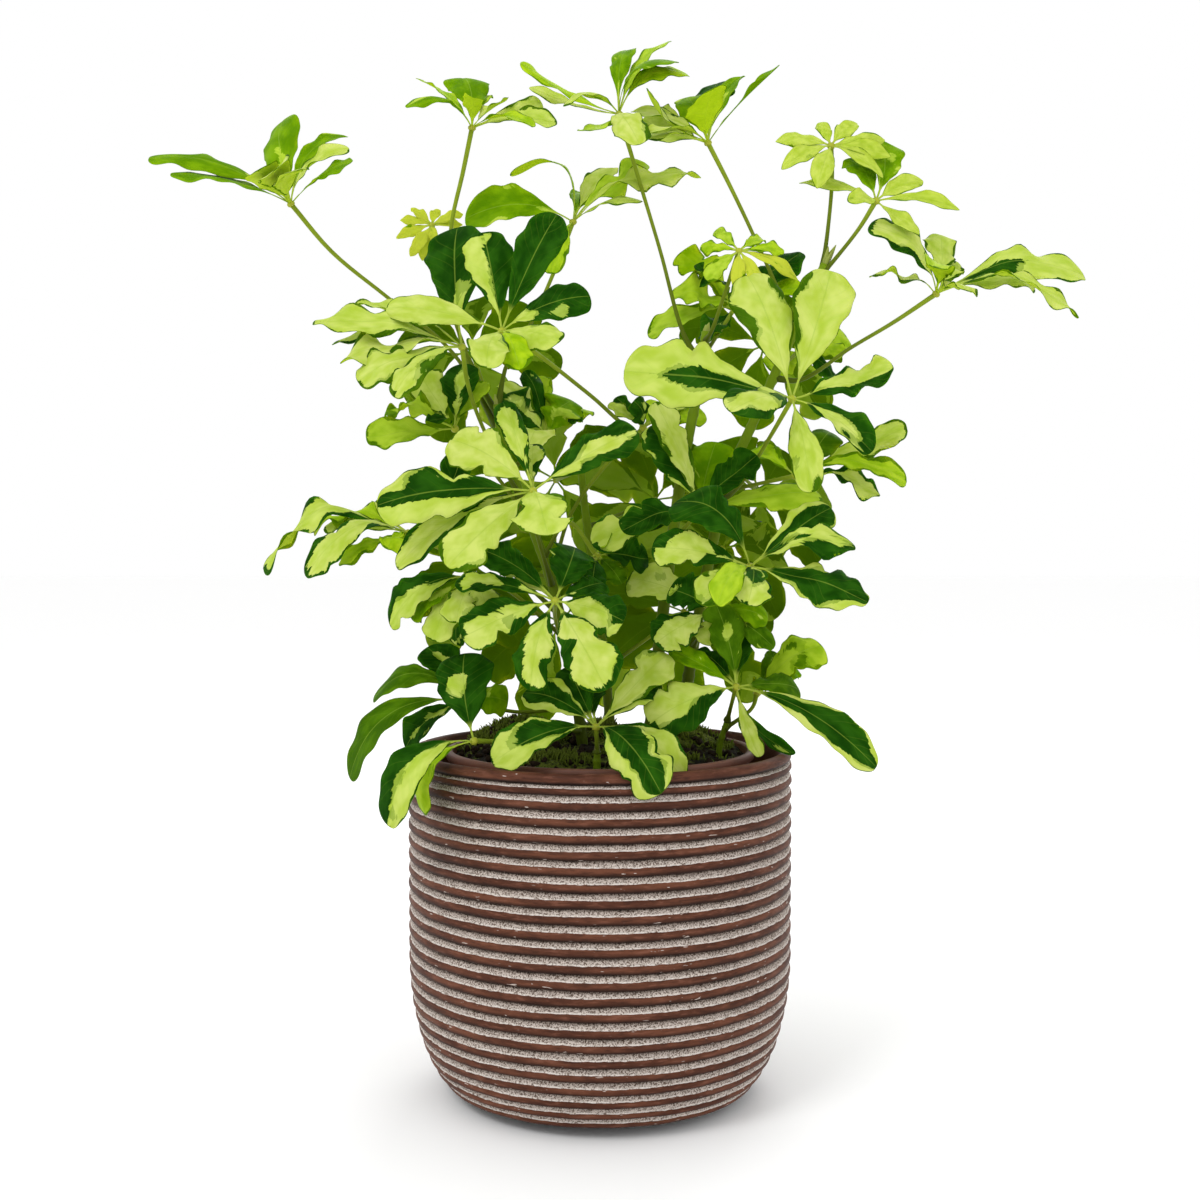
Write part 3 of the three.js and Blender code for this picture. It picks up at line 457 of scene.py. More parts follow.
class Shader:
    def __init__(self, name):
        self.mat = bpy.data.materials.new(name)
        self.mat.use_nodes = True
        self.tree = self.mat.node_tree
        self.tree.nodes.clear()
        self.skin = self.node("BsdfPrincipled")
        self.node("OutputMaterial", {0: self.skin.outputs[0]})

    def put(self, socket, value):
        if isinstance(value, Value):
            value = value.socket
        if isinstance(value, bpy.types.NodeSocket):
            self.tree.links.new(value, socket)
        else:
            socket.default_value = value

    def node(self, kind, inputs=(), **settings):
        """A node with its settings made and its inputs filled, by name or by number."""
        n = self.tree.nodes.new("ShaderNode" + kind)
        for key, value in settings.items():
            setattr(n, key, value)
        for key, value in dict(inputs).items():
            self.put(n.inputs[key], value)
        return n

    def math(self, op, *values):
        return Value(self, self.node("Math", enumerate(values), operation=op).outputs[0])

    def step(self, value, low, high):
        """0 at low, 1 at high, smooth between; low and high may be values."""
        n = self.node("MapRange", {0: value, 1: low, 2: high}, interpolation_type="SMOOTHSTEP")
        return Value(self, n.outputs[0])

    def mix(self, share, a, b):
        return self.node("Mix", {0: share, 6: a, 7: b}, data_type="RGBA", clamp_factor=True).outputs[2]

    def paint(self, colour, *coats):
        """A colour with coats over it, each a share and a colour."""
        for share, coat in coats:
            colour = self.mix(share, colour, coat)
        return colour

    def noise(self, where, scale, detail=2.0, rough=0.5):
        inputs = {"Vector": where, "Scale": float(scale), "Detail": detail, "Roughness": rough}
        return Value(self, self.node("TexNoise", inputs).outputs[0])

    def vector(self, *parts):
        return self.node("CombineXYZ", enumerate(parts)).outputs[0]

    def marks(self, name):
        """The four channels of a layer of marks."""
        n = self.node("Attribute", attribute_name=name)
        parts = self.node("SeparateColor", {0: n.outputs["Color"]})
        return [Value(self, socket) for socket in (*parts.outputs[:3], n.outputs["Alpha"])]

    def where(self):
        return self.node("TexCoord").outputs["Object"]

    def bump(self, height, strength, distance):
        n = self.node("Bump", {"Strength": strength, "Distance": distance, "Height": height})
        self.put(self.skin.inputs["Normal"], n.outputs[0])

    def finish(self, colour, rough, specular, *more):
        usual = ("Base Color", colour), ("Roughness", rough), ("Specular IOR Level", specular)
        for name, value in usual + more:
            self.put(self.skin.inputs[name], value)
        return self.mat


# Leaflet colours, each from its darker to its lighter cloud
CREAM = rgb(165, 185, 64), rgb(193, 204, 112)
# Bright lime: partly the leaflets' own tint and partly painted light, standing in for light shining through a
# blade from behind
LIME_AND_BACKLIGHT = rgb(128, 166, 4), rgb(162, 192, 26)
DEEP = rgb(19, 56, 5), rgb(36, 80, 12)
MID = rgb(90, 134, 2), rgb(120, 160, 8)
TEETH = 0.2  # how far the teeth of a patch reach, in shares of the way from rib to edge
PATCH_BLUR, SAGE_BLUR = 0.009, 0.008
SIDE_PULL, END_PULL, BAND_PULL = 0.9, 1.5, -36.0  # how strongly green keeps to a side, an end, a short band
HEM_LEAST, HEM_SWELL, HEM_TEETH, HEM_BLUR = 0.45, 16.0, 3.0, 0.1  # mm
RIB_FOOT, RIB_TAPER = 0.055, -0.03  # half the rib's width at a blade's foot, and its change to the tip
VEINS, VEIN_SLANT = 13.0, -0.2


def blade_material(name, under=None):
    """Leaflet skin: dark patches and margins with toothed edges on cream or lime, a midrib and faint veins.
    under is how much of an underside's colours shows, and these for its pale and its green parts; the back
    leaves' darker ones are painted shade."""
    sh = Shader(name)
    s, tn, edge, side = sh.marks("place")
    cover, centre, lime, seed = sh.marks("mark")
    depth, youth, margin, end = sh.marks("look")
    across = tn * 2.0 - 1.0
    t = sh.math("ABSOLUTE", across)
    far = seed * 61.0
    patch_at = sh.vector(s * 2.6, tn * 1.5, far)
    comb_at = sh.vector(t * -5.0 + s * 24.0, tn * 3.2, far)
    margin_at = sh.vector(s * 3.4, sh.math("GREATER_THAN", tn, 0.5), far + 7.7)
    patch = sh.noise(patch_at, 1.0, 1.0, 0.4)
    comb = sh.noise(comb_at, 1.0, 3.0, 0.62) - 0.5
    hem = sh.noise(margin_at, 1.0, 1.0, 0.5)

    # where the green lies: a level over the blade, and the threshold above which it shows
    inward = t * (1.0 - centre) + (1.0 - t) * centre
    band = sh.step(centre, 0.93, 0.97) * 0.4
    from_middle = s - 0.55
    level = inward * (band + 0.36) + comb * TEETH + (patch - 0.18)
    level = level + band * (0.5 - end) * (from_middle * from_middle) * BAND_PULL
    level = level + (side - 0.5) * across * SIDE_PULL + (end - 0.5) * (s - 0.5) * END_PULL
    threshold = cover * -0.52 + (band + 0.76)
    dark = sh.step(level, threshold, threshold + PATCH_BLUR)
    sage = threshold - sh.step(hem, 0.44, 0.6) * 0.1
    between = sh.step(level, sage, sage + SAGE_BLUR)
    hem_mm = (sh.math("MAXIMUM", hem - 0.46, 0.0) * HEM_SWELL + HEM_LEAST + comb * HEM_TEETH) * margin
    hemmed = 1.0 - sh.step(edge * EDGE_SPAN - hem_mm, -HEM_BLUR, HEM_BLUR)
    hemmed = hemmed * sh.step(margin, 0.02, 0.05)
    greened = sh.math("MAXIMUM", dark, hemmed)

    tint = sh.noise(patch_at, 2.2, 2.0, 0.5)
    streak = sh.noise(comb_at, 0.35, 2.0, 0.5)
    clouds = sh.step(tint, 0.35, 0.7)
    mid = sh.mix(clouds, *MID)
    green = sh.mix(depth, mid, sh.mix(clouds, *DEEP))
    # The lime coat is partly painted light shining through the blade
    pale = sh.paint(sh.mix(sh.step(tint, 0.24, 0.74), *CREAM),
                    (lime, sh.mix(sh.step(tint, 0.3, 0.7), *LIME_AND_BACKLIGHT)),
                    (sh.step(streak, 0.45, 0.7) * 0.25, rgb(150, 182, 50)),
                    (youth, rgb(182, 190, 54)))
    soft = sh.mix(depth * 0.25 + 0.35, pale, sh.mix(0.45, green, mid))

    rib_edge = s * RIB_TAPER + RIB_FOOT
    rib = 1.0 - sh.step(t, rib_edge * 0.4, rib_edge)
    vein_wave = sh.math("FRACT", (t * VEIN_SLANT + s) * VEINS)
    vein = 1.0 - sh.step(sh.math("ABSOLUTE", vein_wave - 0.5), 0.02, 0.1)
    vein = vein * sh.step(streak, 0.35, 0.6)
    stalk = 1.0 - sh.step(s, 0.13, 0.22)
    colour = sh.paint(pale, (between * 0.8, soft), (greened, green), (vein * 0.07, rgb(138, 170, 58)),
                      (rib * 0.34, rgb(144, 172, 62)), (stalk * 0.9, rgb(158, 176, 66)))
    if under:
        shown, under_pale, under_green = under
        colour = sh.mix(shown, colour, sh.mix(greened, under_pale, under_green))
    sh.bump(sh.math("MAXIMUM", rib, vein * 0.4) * -0.6 + comb, 0.3, 0.0005)
    return sh.finish(colour, 0.6 if under else 0.42, 0.0 if under else 0.006, ("Subsurface Weight", 0.2),
                     ("Subsurface Radius", (0.9, 1.0, 0.3)), ("Subsurface Scale", 0.002))


def stalk_material(name, low, high, knot, specular=0.2):
    """Stalk skin, from one colour at its foot to another at its end, with darker knots."""
    sh = Shader(name)
    s = sh.marks("place")[0]
    at = sh.where()
    broad = sh.noise(at, 90)
    colour = sh.paint(sh.mix(s, low, high), (sh.step(broad, 0.42, 0.68) * 0.35, knot),
                      (sh.step(sh.noise(at, 900, 3.0, 0.6), 0.55, 0.8) * 0.06, knot))
    sh.bump(broad, 0.2, 0.0006)
    return sh.finish(colour, 0.45, specular)


def pot_material():
    """Brown ribs with painted shade along their lower flanks, chipped in places, and sandy ramps with painted
    shadow at their upper edges, under the rib above, lighter down at their feet.
    The first mark is the share of the way down from one ramp's upper edge to the next one's."""
    sh = Shader("pot_ribs")
    share, _, inside, _ = sh.marks("place")
    at = sh.where()
    level = sh.node("VectorMath", {0: at, 1: (1.0, 1.0, 5.0)}, operation="MULTIPLY").outputs[0]
    coarse = sh.noise(level, 24, 3.0, 0.6)
    streak = sh.noise(level, 120, 3.0, 0.65)
    fine = sh.noise(at, 480, 3.0, 0.7)
    grit = sh.noise(at, 1500, 2.0, 0.7)
    ragged = (sh.noise(at, 210, 3.0, 0.6) - 0.5) * 0.12 + share
    chip = sh.step(sh.noise(level, 170), 0.69, 0.72) * sh.step(coarse, 0.42, 0.55)
    brown = sh.paint(rgb(74, 41, 28),
                     (sh.step(coarse, 0.36, 0.64), rgb(99, 59, 42)),
                     (sh.step(streak, 0.5, 0.72) * 0.55, rgb(124, 80, 63)),
                     (sh.step(streak, 0.5, 0.28) * 0.6, rgb(46, 25, 18)),
                     # painted shade: darker down the lower flank of each rib, darkest at its foot and along
                     # the rim's lower edge
                     (sh.step(share, 0.62, 0.92) * 0.9, rgb(32, 19, 14)),
                     (sh.step(share, 0.93, 0.975), rgb(26, 16, 12)),
                     (chip * 0.8, rgb(200, 186, 176)))
    # painted shadow under each rib: the sand starts dark right under the rib above and lightens down the
    # ramp, with a darker line just under the rib
    sand_in_painted_shadow = sh.mix(sh.step(grit, 0.42, 0.57), rgb(56, 43, 35), rgb(150, 134, 123))
    light_sand = sh.mix(sh.step(grit, 0.4, 0.55), rgb(94, 78, 67), rgb(197, 185, 176))
    bead = sh.step(ragged, 0.3, 0.38) * sh.step(fine, 0.4, 0.54)
    sand = sh.paint(sand_in_painted_shadow,
                    (sh.step(ragged, 0.02, 0.22), light_sand),
                    (sh.step(fine, 0.5, 0.68) * 0.5, rgb(92, 80, 72)),
                    (bead * 0.7, rgb(228, 221, 214)),
                    (sh.step(ragged, 0.07, 0.0) * 0.8, rgb(40, 33, 29)))
    ridge = sh.step(ragged, 0.41, 0.43)
    colour = sh.paint(sand, (ridge, brown), (inside, rgb(92, 57, 45)))
    sh.bump(grit * (1.15 - ridge) + streak * 0.5, 0.6, 0.0007)
    return sh.finish(colour, sh.math("MAXIMUM", ridge, inside) * -0.42 + 0.95, 0.1)


def soil_material():
    """Dark crumbs, green with moss where the first mark says so."""
    sh = Shader("soil_crumbs")
    moss = sh.marks("place")[0]
    at = sh.where()
    coarse = sh.noise(at, 120, 3.0, 0.6)
    fine = sh.noise(at, 600, 4.0, 0.7)
    earth = sh.mix(sh.step(fine, 0.35, 0.65), rgb(14, 11, 8), rgb(44, 35, 25))
    green = sh.mix(sh.step(fine, 0.35, 0.68), rgb(38, 46, 10), rgb(116, 128, 42))
    sh.bump(fine, 1.0, 0.0016)
    return sh.finish(sh.mix(sh.step(coarse + moss * 0.5, 0.58, 0.72), earth, green), 0.95, 0.2)


def plain_material(name, colour, rough, grain, specular=0.4):
    """One colour, with grain as the share of a darker one in its clouds."""
    sh = Shader(name)
    fine = sh.noise(sh.where(), 300, 3.0, 0.6)
    darker = tuple(c * 0.72 for c in colour[:3]) + (1,)
    sh.bump(fine, 0.25, 0.0003)
    return sh.finish(sh.mix(sh.step(fine, 0.4, 0.7) * grain, colour, darker), rough, specular)


BLADE = blade_material("leaf_top")
UNDER = blade_material("leaf_under", (0.72, rgb(168, 196, 24), rgb(92, 130, 6)))
# The back leaves' undersides face the eye from inside the plant: their darker green is painted shade
SHADE = blade_material("leaf_shade", (0.78, rgb(108, 142, 14), rgb(82, 116, 8)))
PETIOLE = stalk_material("petiole", rgb(66, 80, 16), rgb(138, 158, 38), rgb(92, 108, 22), 0.06)
BARK = stalk_material("stem_bark", rgb(56, 64, 14), rgb(112, 140, 22), rgb(84, 96, 20), 0.05)
HUB = stalk_material("leaf_hub", rgb(156, 168, 52), rgb(160, 168, 44), rgb(140, 140, 38))
BUD = stalk_material("bud_sheath", rgb(120, 130, 56), rgb(150, 164, 70), rgb(120, 100, 60))
CLAY = pot_material()
PLASTIC = plain_material("nursery_plastic", rgb(108, 66, 50), 0.55, 0.5)
EARTH = soil_material()
MOSS = plain_material("moss_tuft", rgb(96, 110, 32), 0.9, 0.9, 0.15)
CRUMB = plain_material("bark_crumb", rgb(42, 31, 21), 0.95, 0.9, 0.15)

# Stems

LONG_ROWS, SHORT_ROWS = 150, 60
SCAR_STEP, SCAR_WIDTH = 13.0, 0.8  # mm from leaf scar to leaf scar, and across one
BUD_SCALES, BUD_TALL, LEADER_BUD_TALL = 3, 5, 11


def cad_tree(name):
    """The corners of a CAD node, to be found by place."""
    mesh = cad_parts[name].data
    tree = kdtree.KDTree(len(mesh.vertices))
    for i, v in enumerate(mesh.vertices):
        tree.insert(v.co / MM, i)
    tree.balance()
    return tree


STEM_PATHS = {letter: [seen(p) for p in spots(text)] for letter, (_, _, text) in STEMS.items()}


def stem_piece(number, name, radius, spine):
    piece = Piece(name + "_bark")
    rows = LONG_ROWS if len(spine) > 4 else SHORT_ROWS
    path = catmull(spine, rows)
    reach = np.linspace(0, 1, rows)
    length = np.sum(np.linalg.norm(np.diff(path, axis=0), axis=1))
    scars = [math.exp(-(((r * length) % SCAR_STEP - SCAR_STEP / 2) / SCAR_WIDTH) ** 2) for r in reach]
    thick = [radius * (1.02 - 0.3 * r ** 1.5) + 0.35 * scar
             + 0.15 * noise.noise(Vector((r * length / 5, number * 7.31, number * 2.17)))
             for r, scar in zip(reach, scars)]
    piece.add(BARK, *tube(path, thick, 14))
    tip, way = path[-1], unit(path[-1] - path[-4])
    for k in range(BUD_SCALES):
        lean = unit(way + 0.25 * np.array([math.cos(2.1 * k + number), math.sin(2.1 * k + number), 0.1]))
        tall = (LEADER_BUD_TALL if name == "stem_right" else BUD_TALL) * (1 - 0.22 * k)
        scale = catmull([tip - way * 2, tip + lean * tall * 0.5, tip + lean * tall], 8)
        piece.add(BUD, *tube(scale, [radius * 0.62 * (1 - (i / 7.4) ** 2) for i in range(8)], 8))
    piece.done(name)


for number, (letter, (name, radius, _)) in enumerate(STEMS.items()):
    stem_piece(number, name, radius, STEM_PATHS[letter])


# Leaves

BLADE_GRIDS = (34, 12), (22, 8), (22, 10)  # rows and columns of a wide, a narrow and a back blade
WIDE_GRID_FROM = 14
FRESH_WIDTH, FRESH_ENDS, USUAL_ENDS = 0.8, (0.85, 0.72), (1.05, 0.44)
STALK_THICK, BLADE_THICK = 0.55, 0.22  # half of the thickness
RIB_DIP, RIB_DIP_HALF = 0.35, 0.9
CURL_FROM = 0.65  # the share of a blade's length at which its tip starts to curl down
NOTCH_HALF = 0.035
PETIOLE_ROWS, PETIOLE_THICK, PETIOLE_FOOT = 28, 1.25, 0.75
HUB_RADIUS, YOUNG_HUB_RADIUS = 2.1, 1.8


def back_blades(hub, axis, reach, width, tones):
    """The leaflets of a leaf behind, evenly round its hub."""
    side = unit(np.cross([0, 0, 1], axis))
    over = np.cross(axis, side)
    for i in range(BACK_BLADES):
        angle = BACK_TURN + TURN * i / BACK_BLADES
        way = unit(side * math.cos(angle) + over * math.sin(angle) - axis * BACK_DROOP)
        tip = hub + way * (reach * (1 + BACK_SPREAD * math.sin(5 * i + BACK_BLADES)))
        yield SimpleNamespace(tip=tip, width=width, arch=BACK_ARCH, twist=0.0, wave=BACK_WAVE, tone=tones[i])


def front_blades(text, hub_depth):
    """The leaflets of a leaf in front, from its rows of the table."""
    for tone, *numbers in (row.split() for row in text.split(",")):
        numbers = [float(x) for x in numbers]
        u, v, depth, width, arch, twist, wave = numbers + [ARCH, 0, WAVE][len(numbers) - 4:]
        tip = seen([u, v, hub_depth + depth])
        yield SimpleNamespace(tip=tip, width=width, arch=arch, twist=math.radians(twist), wave=wave,
                              tone=tone)


def leaf_list():
    for index, text in enumerate(LEAVES + BACK):
        number, plain = index + 1, index >= len(LEAVES)
        growth, spot, axis, via, leaflets = text.split(";")
        stem, at = growth.split()
        spot, axis = spots(spot)[0], unit(np.array(spots(axis)[0]))
        hub, bend = seen(spot), np.array([0.0, 1.0, 0.0])
        if plain:
            bend, tones = axis, BACK_TONES[BACK_TONE_STEP * index % len(BACK_TONES):] + BACK_TONES
            blades = list(back_blades(hub, axis, *spots(leaflets)[0], tones))
        else:
            blades = list(front_blades(leaflets, spot[2]))
        for i, blade in enumerate(blades):
            vars(blade).update(root=hub, axis=axis, phase=PHASE_STEP * i + index, plain=plain,
                               curly=number in CURLY, ragged=number in RAGGED)
        yield SimpleNamespace(name="leaf_%02d" % number, hub=hub, axis=axis, stem=stem, at=float(at),
                              via=spots(via), blades=blades, bend=bend, young=number in YOUNGEST)


def best_fit(options, miss_of):
    """The first option with the least miss, in mm; a later one has to better it clearly."""
    best, least = None, math.inf
    for option in options:
        miss = miss_of(option)
        if miss < least - 1e-3:
            best, least = option, miss
    return best


def settled_tip(blade, bend, tree):
    """Where the part's bends left this leaflet's tip, read from the CAD node's own corners."""
    root = blade.root
    tips = (root + share * (blade.tip + bend * step - root) for share in SHORTS for step in BENDS)
    return best_fit(tips, lambda tip: sum(min(2.0, tree.find(Vector(m))[2]) for m in cad_marks(blade, tip)))


def settled_petiole(leaf, tree):
    """The petiole's run as the part's bends left it, read in the same way."""
    foot = catmull(STEM_PATHS[leaf.stem], 401)[int(round(leaf.at * 400))]
    middle = [seen(v) for v in leaf.via] or [(leaf.hub + foot) / 2]
    runs = ([leaf.hub] + [m + np.array([0, step, 0]) for m in middle] + [foot] for step in BENDS)

    def miss(run):
        rings = catmull(run, min(PETIOLE_STEPS, 2 * (len(run) - 2)) + 1)[1:-1]
        return sum(abs(tree.find(Vector(p))[2] - PETIOLE_RADIUS) for p in rings)

    return best_fit(runs, miss)


def blade_form(blade, width, length, rng):
    """The chances of a blade's shape, drawn in a fixed order, and what follows from its kind."""
    wave, curly, ragged, fresh = blade.wave, blade.curly, blade.ragged, blade.tone in FRESH
    form = SimpleNamespace(cup=rng.uniform(-0.34, 0.3))
    kind = 0.5 if fresh else 1.5 if wave > 1 else 1.8 if curly else 1.3 if ragged else 1
    form.ruffle = rng.uniform(0.7, 1.1) * wave * kind
    form.beat = rng.uniform(2.8, 4.4)
    form.shift = rng.uniform(0, 6.28)
    form.bow = rng.uniform(-0.04, 0.04) * length
    form.roll = rng.uniform(-0.22, 0.22)
    form.curl = rng.uniform(-1.0, 3.0) * min(1.0, width / 18) * (1.6 if curly else 1)
    form.sway = 1.7 * max(0.5 if curly else 0.0, wave - 0.8)
    swell = 0.02 if fresh else 0.01 + 0.065 * wave * min(1.0, blade.width / 15)
    form.swell = swell * (1.5 if ragged else 1)
    notches = 0.6 if ragged and width >= 14 else 0.3 if wave > 0.8 and width >= 12 else 0
    form.edges = {side: (rng.uniform(0, 6.28), rng.uniform(0, 6.28), rng.uniform(0.42, 0.86),
                         rng.uniform(0.2, 0.45) if rng.uniform() < notches else 0.0) for side in (1, -1)}
    return form


def edge_share(s, form, side):
    """How far a blade's edge stands out of the plain outline at a share of its length."""
    a, b, notch, deep = form.edges[side]
    return (1 + form.swell * math.sin(TURN * 2.3 * s + a) + 0.6 * form.swell * math.sin(TURN * 5.7 * s + b)
            - deep * math.exp(-((s - notch) / NOTCH_HALF) ** 2))


def blade_mesh(blade, tip, mark_side, rng):
    """A closed thin blade: its corners, its upper faces, the others, and the marks of place."""
    along, across, up, length = leaflet_frame(blade, tip)
    fresh, wave = blade.tone in FRESH, blade.wave
    width = blade.width * (FRESH_WIDTH if fresh else 1)
    early, late = FRESH_ENDS if fresh else USUAL_ENDS
    peak = (early / (early + late)) ** early * (late / (early + late)) ** late
    rows, cols = BLADE_GRIDS[2 if blade.plain else 0 if width >= WIDE_GRID_FROM else 1]
    form = blade_form(blade, width, length, rng)
    top, low, place = [], [], []
    for j in range(rows + 1):
        s = 1 - (1 - j / rows) ** 1.6
        stalk = s <= STALK_SHARE
        half, thick = STALK_HALF, STALK_THICK
        if not stalk:
            x = (s - STALK_SHARE) / (1 - STALK_SHARE)
            full = x ** early * max(0.0, 1 - x) ** late / peak
            half, thick = max(0.6 * (1 - x) + 0.05, width / 2 * full), BLADE_THICK
        grow = 0 if stalk else min(1.0, 2 * half / width)
        turn = TURN * WAVE_TURNS * s + blade.phase
        bump = 4 * s * (1 - s) * blade.arch * length
        bump += form.sway * math.sin(TURN * 1.4 * s + form.shift) * math.sin(math.pi * s)
        bump -= form.curl * max(0.0, (s - CURL_FROM) / (1 - CURL_FROM)) ** 2
        lean = form.roll * s
        flat = across * math.cos(lean) + up * math.sin(lean)
        rise = up * math.cos(lean) - across * math.sin(lean)
        reach = {side: half * (edge_share(s, form, side) if grow else 1) for side in (1, -1)}
        for k in range(cols + 1):
            t = 2 * k / cols - 1
            a = abs(t)
            wide = reach[1 if t > 0 else -1]
            swing = math.sin(turn if t > 0 else turn + EDGE_LAG) * wave * 1.35 * grow
            flutter = math.sin(TURN * form.beat * s + form.shift + (2.4 if t > 0 else 0)) * form.ruffle * grow
            lift = swing * a ** 1.4 + flutter * a ** 2.2 + form.cup * half * (t * t - 0.35) * grow
            lift -= RIB_DIP * math.exp(-(t * half / RIB_DIP_HALF) ** 2) * grow
            centre = blade.root + along * (s * length) + across * (form.bow * 4 * s * (1 - s)) + up * bump
            centre = centre + flat * (t * wide) + rise * lift
            edge = thick * (0.35 + 0.65 * (1 - a ** 4)) * (0.3 + 0.7 * min(1.0, half / 1.5))
            top.append(centre + rise * edge)
            low.append(centre - rise * edge)
            inward = EDGE_SPAN if stalk else min((1 - a) * wide, (1 - s) * length * 0.85)
            place.append((s, t / 2 + 0.5, min(1.0, inward / EDGE_SPAN), mark_side))
    n, w = len(top), cols + 1
    upper = [(i, i + 1, i + w + 1, i + w) for j in range(rows) for i in range(j * w, j * w + cols)]
    rest = [(n + d, n + c, n + b, n + a) for a, b, c, d in upper]
    hem = [pair for j in range(rows) for pair in ((j * w, j * w + w), (j * w + w + cols, j * w + cols))]
    hem += [pair for k in range(cols) for pair in ((k + 1, k), (rows * w + k, rows * w + k + 1))]
    rest += [(a, b, n + b, n + a) for a, b in hem]
    return top + low, upper, rest, place + place


def leaf_piece(number, leaf):
    tree = cad_tree(leaf.name)
    rng = np.random.default_rng(100 + number)
    piece = Piece(leaf.name + "_fine")
    path = catmull(settled_petiole(leaf, tree), PETIOLE_ROWS)
    thick = [PETIOLE_THICK - 0.3 * math.sin(math.pi * r) + PETIOLE_FOOT * max(0, r - 0.86) / 0.14
             for r in np.linspace(0, 1, PETIOLE_ROWS)]
    piece.add(PETIOLE, *tube(path[::-1], thick[::-1], 10))
    piece.add(HUB, *knob(leaf.hub, YOUNG_HUB_RADIUS if leaf.young else HUB_RADIUS, leaf.axis), (1, 0, 0, 1))
    for blade in leaf.blades:
        tip = settled_tip(blade, leaf.bend, tree)
        cover, centre, lime, depth, youth, margin, side, end = TONE_MARKS[blade.tone]
        cover = max(0, cover + rng.uniform(-0.06, 0.06)) if cover else 0
        centre = centre if centre == 1 else max(0, centre + rng.uniform(-0.15, 0.15))
        lime = min(1, max(0, lime + rng.uniform(-0.1, 0.2)))
        margin = max(margin, CURLY_MARGIN) if blade.curly else margin
        verts, upper, rest, place = blade_mesh(blade, tip, side, rng)
        start = piece.count
        piece.add(BLADE, verts, upper, place, mark=(cover, centre, lime, rng.uniform(0, 1)),
                  look=(depth, youth, margin, end))
        piece.cover(SHADE if blade.plain else UNDER, rest, start)
    piece.done(leaf.name)


for number, leaf in enumerate(leaf_list()):
    leaf_piece(number, leaf)


# Cover pot

POT_R, FOOT_R, BELLY, RIM_Z, RIM_R = 95, 65, 70, 167.5, 3
HIGH_GROOVE = 165.3
TOP_PITCH = HIGH_GROOVE - 159.5  # down to the second groove
PITCH, RIBS, GROOVE = 7.31, 22, 1.9
SAND_FROM = 0.2  # the share of the pitch at which a ramp of sand starts above the middle of the groove
SAND_TO = 0.44  # the share at which it meets the rib below
# Down one rib, in shares of the pitch from the middle of the sand above: how far it stands off the wall, mm
RIB_SHAPE = ((-0.195, -1.88), (-0.12, -1.66), (-0.02, -1.34), (0.08, -1.0), (0.17, -0.66), (0.235, -0.36),
             (0.275, -0.12), (0.34, 0.06), (0.43, 0.18), (0.53, 0.22), (0.62, 0.14), (0.69, -0.06),
             (0.735, -0.42), (0.77, -1.1), (0.8, -1.9))
TOP_RIB_SHAPE = ((0.0, -1.88), (0.05, -1.6), (0.1, -1.3), (0.15, -0.95), (0.2, -0.6)) + RIB_SHAPE[5:]
HIDDEN_SHARE, RIM_SHADE_SHARE, CLAY_SHARE = 0.99, 0.97, 0.7  # marks of the foot, of the rim's lower edge with its painted shade, and of plain clay
POT_TURNS = 230
POT_INSIDE = ((88.7, 164), (88.5, 158), (88.5, 120), (88.5, 70), (79, 26), (63, 8), (0, 8))
RIM_STEPS, RIM_START = 10, -0.55


def wall(z):
    share = min(1.0, max(0.0, 1 - z / BELLY))
    return FOOT_R + (POT_R - FOOT_R) * math.sqrt(1 - share * share)


def pot_rows():
    """Rows of radius, height, place down the rib and rib number, from the foot up to the rim."""
    down = np.arange(HIGH_GROOVE, -1.0, -0.1)
    radii = np.array([wall(z) for z in down])
    gone = np.concatenate([[0.0], np.cumsum(np.hypot(0.1, np.diff(radii)))])
    outer = []
    for rib in range(RIBS + 1):
        begin = TOP_PITCH + (rib - 1) * PITCH if rib else 0.0
        pitch, shape = (PITCH, RIB_SHAPE) if rib else (TOP_PITCH, TOP_RIB_SHAPE)
        for q, depth in shape:
            z = float(np.interp(begin + q * pitch, gone, down))
            slope = wall(z + 0.5) - wall(z - 0.5)
            off = depth / math.hypot(1, slope)
            share = 1.83 * q if rib == 0 and q < 0.24 else q + SAND_FROM
            outer.append((wall(z) + off, z - off * slope, share, rib + 1))
    rows = [(0, 0, HIDDEN_SHARE, 0), (FOOT_R - 4, 0, HIDDEN_SHARE, 0)]
    rows += [row for row in outer[::-1] if row[1] > 0.4]
    rows.append((POT_R - GROOVE + 0.1, HIGH_GROOVE + 0.05, HIDDEN_SHARE, 0))
    for k in range(RIM_STEPS):
        a = RIM_START + k * (math.pi - RIM_START) / (RIM_STEPS - 1)
        share = CLAY_SHARE if k else RIM_SHADE_SHARE
        rows.append((POT_R - RIM_R + RIM_R * math.cos(a), RIM_Z + RIM_R * math.sin(a), share, 0))
    return rows


